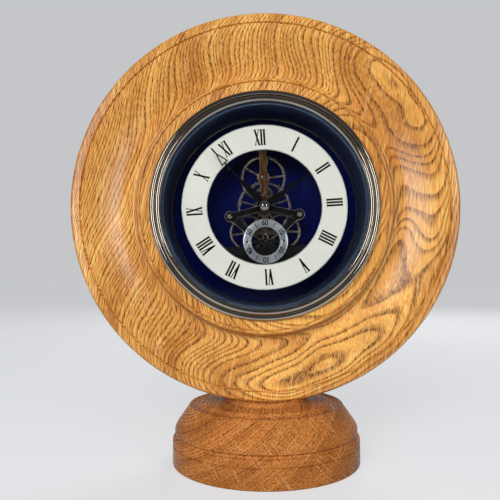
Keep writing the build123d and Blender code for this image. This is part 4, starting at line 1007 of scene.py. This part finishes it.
def camera():
    """The camera, looking along +Y with a slight yaw, pitch and roll."""
    data = bpy.data.cameras.new("camera")
    data.sensor_width = SENSOR
    data.lens = SENSOR * FOCAL_PIXELS / PICTURE_PIXELS
    data.clip_start = 0.01
    made = bpy.data.objects.new("camera", data)
    aim = Matrix.Rotation(YAW, 4, "Z") @ Matrix.Rotation(PITCH, 4, "X") @ Matrix.Rotation(ROLL, 4, "Y")
    made.matrix_world = Matrix.Translation(CAMERA_PLACE) @ aim @ Matrix.Rotation(radians(90), 4, "X")
    bpy.context.scene.collection.objects.link(made)
    bpy.context.scene.camera = made


def lamp(name, place, size, power, mirrored):
    """A soft box that faces the dial, and that polished metal may mirror."""
    data = bpy.data.lights.new(name, "AREA")
    data.shape = "RECTANGLE"
    data.size, data.size_y = size
    data.energy = power
    made = bpy.data.objects.new(name, data)
    turn = (DIAL - Vector(place)).to_track_quat("-Z", "Y")
    made.matrix_world = Matrix.Translation(place) @ turn.to_matrix().to_4x4()
    made.visible_glossy = mirrored
    made.visible_transmission = mirrored
    bpy.context.scene.collection.objects.link(made)


PALE = tint(236, 238, 241)
BACKGROUND = 0.66
ROOM = 0.1
AMBIENT_FRONT = 0.7
AMBIENT_BACK = 0.07
FLOOR_GLOW = 0.58
WINDOWS = (
    ("left_window", (-0.54, -0.92, 0.36), (0.2, 0.6), 2.2, True),
    ("right_window", (0.6, -0.9, 0.3), (0.14, 0.6), 1.8, True),
    ("front_light", (-0.2, -1.2, 0.55), (0.6, 0.4), 10.0, False),
    ("back_light", (0.4, 1.2, 1.0), (0.9, 0.7), 9.0, False),
)


def studio():
    """Pale floor and background, a dimmer room in front and soft window light."""
    floor = bmesh.new()
    bmesh.ops.create_circle(floor, cap_ends=True, segments=96, radius=12.0)
    mesh = bpy.data.meshes.new("floor")
    floor.to_mesh(mesh)
    floor.free()
    material, tree, shader, place = new_finish("floor_paper", Roughness=0.9, Specular_IOR_Level=0.1)
    path = tree.nodes.new("ShaderNodeLightPath").outputs
    along = node(tree, "SeparateXYZ", {}, Vector=place).outputs[1]
    mirrored = sums(tree, "MAXIMUM", path["Is Glossy Ray"], path["Is Transmission Ray"])
    kept = sums(tree, "MULTIPLY", mirrored, fade(tree, along, -0.5, -0.1))
    shown = sums(tree, "MAXIMUM", path["Is Camera Ray"], kept)
    paper = blend(tree, clouds(tree, place, 3.0), tint(170, 171, 173), tint(175, 175, 176))
    join(tree, blend(tree, shown, tint(96, 96, 98), paper), shader.inputs["Base Color"])
    shader.inputs["Emission Color"].default_value = PALE
    join(tree, sums(tree, "MULTIPLY", shown, FLOOR_GLOW), shader.inputs["Emission Strength"])
    mesh.materials.append(material)
    ground = bpy.data.objects.new("floor", mesh)
    bpy.context.scene.collection.objects.link(ground)
    world = bpy.data.worlds.new("surroundings")
    world.use_nodes = True
    bpy.context.scene.world = world
    tree = world.node_tree
    sky = tree.nodes["Background"]
    sky.inputs["Color"].default_value = PALE
    path = tree.nodes.new("ShaderNodeLightPath").outputs
    outward = tree.nodes.new("ShaderNodeTexCoord").outputs["Generated"]
    axes = node(tree, "SeparateXYZ", {}, Vector=outward).outputs
    behind = between(tree, fade(tree, axes[1], -0.1, 0.6), ROOM, BACKGROUND)
    in_front = between(tree, fade(tree, axes[1], -0.1, -1.0), AMBIENT_BACK, AMBIENT_FRONT)
    ambient = sums(tree, "MULTIPLY", path["Is Diffuse Ray"], in_front)
    passed_on = sums(tree, "MAXIMUM", path["Is Glossy Ray"], path["Is Transmission Ray"])
    reflected = sums(tree, "MULTIPLY_ADD", passed_on, behind, ambient)
    shown = sums(tree, "MULTIPLY_ADD", path["Is Camera Ray"], BACKGROUND, reflected)
    join(tree, shown, sky.inputs["Strength"])
    for lamp_values in WINDOWS:
        lamp(*lamp_values)


camera()
studio()
bpy.context.scene.view_settings.view_transform = "Standard"
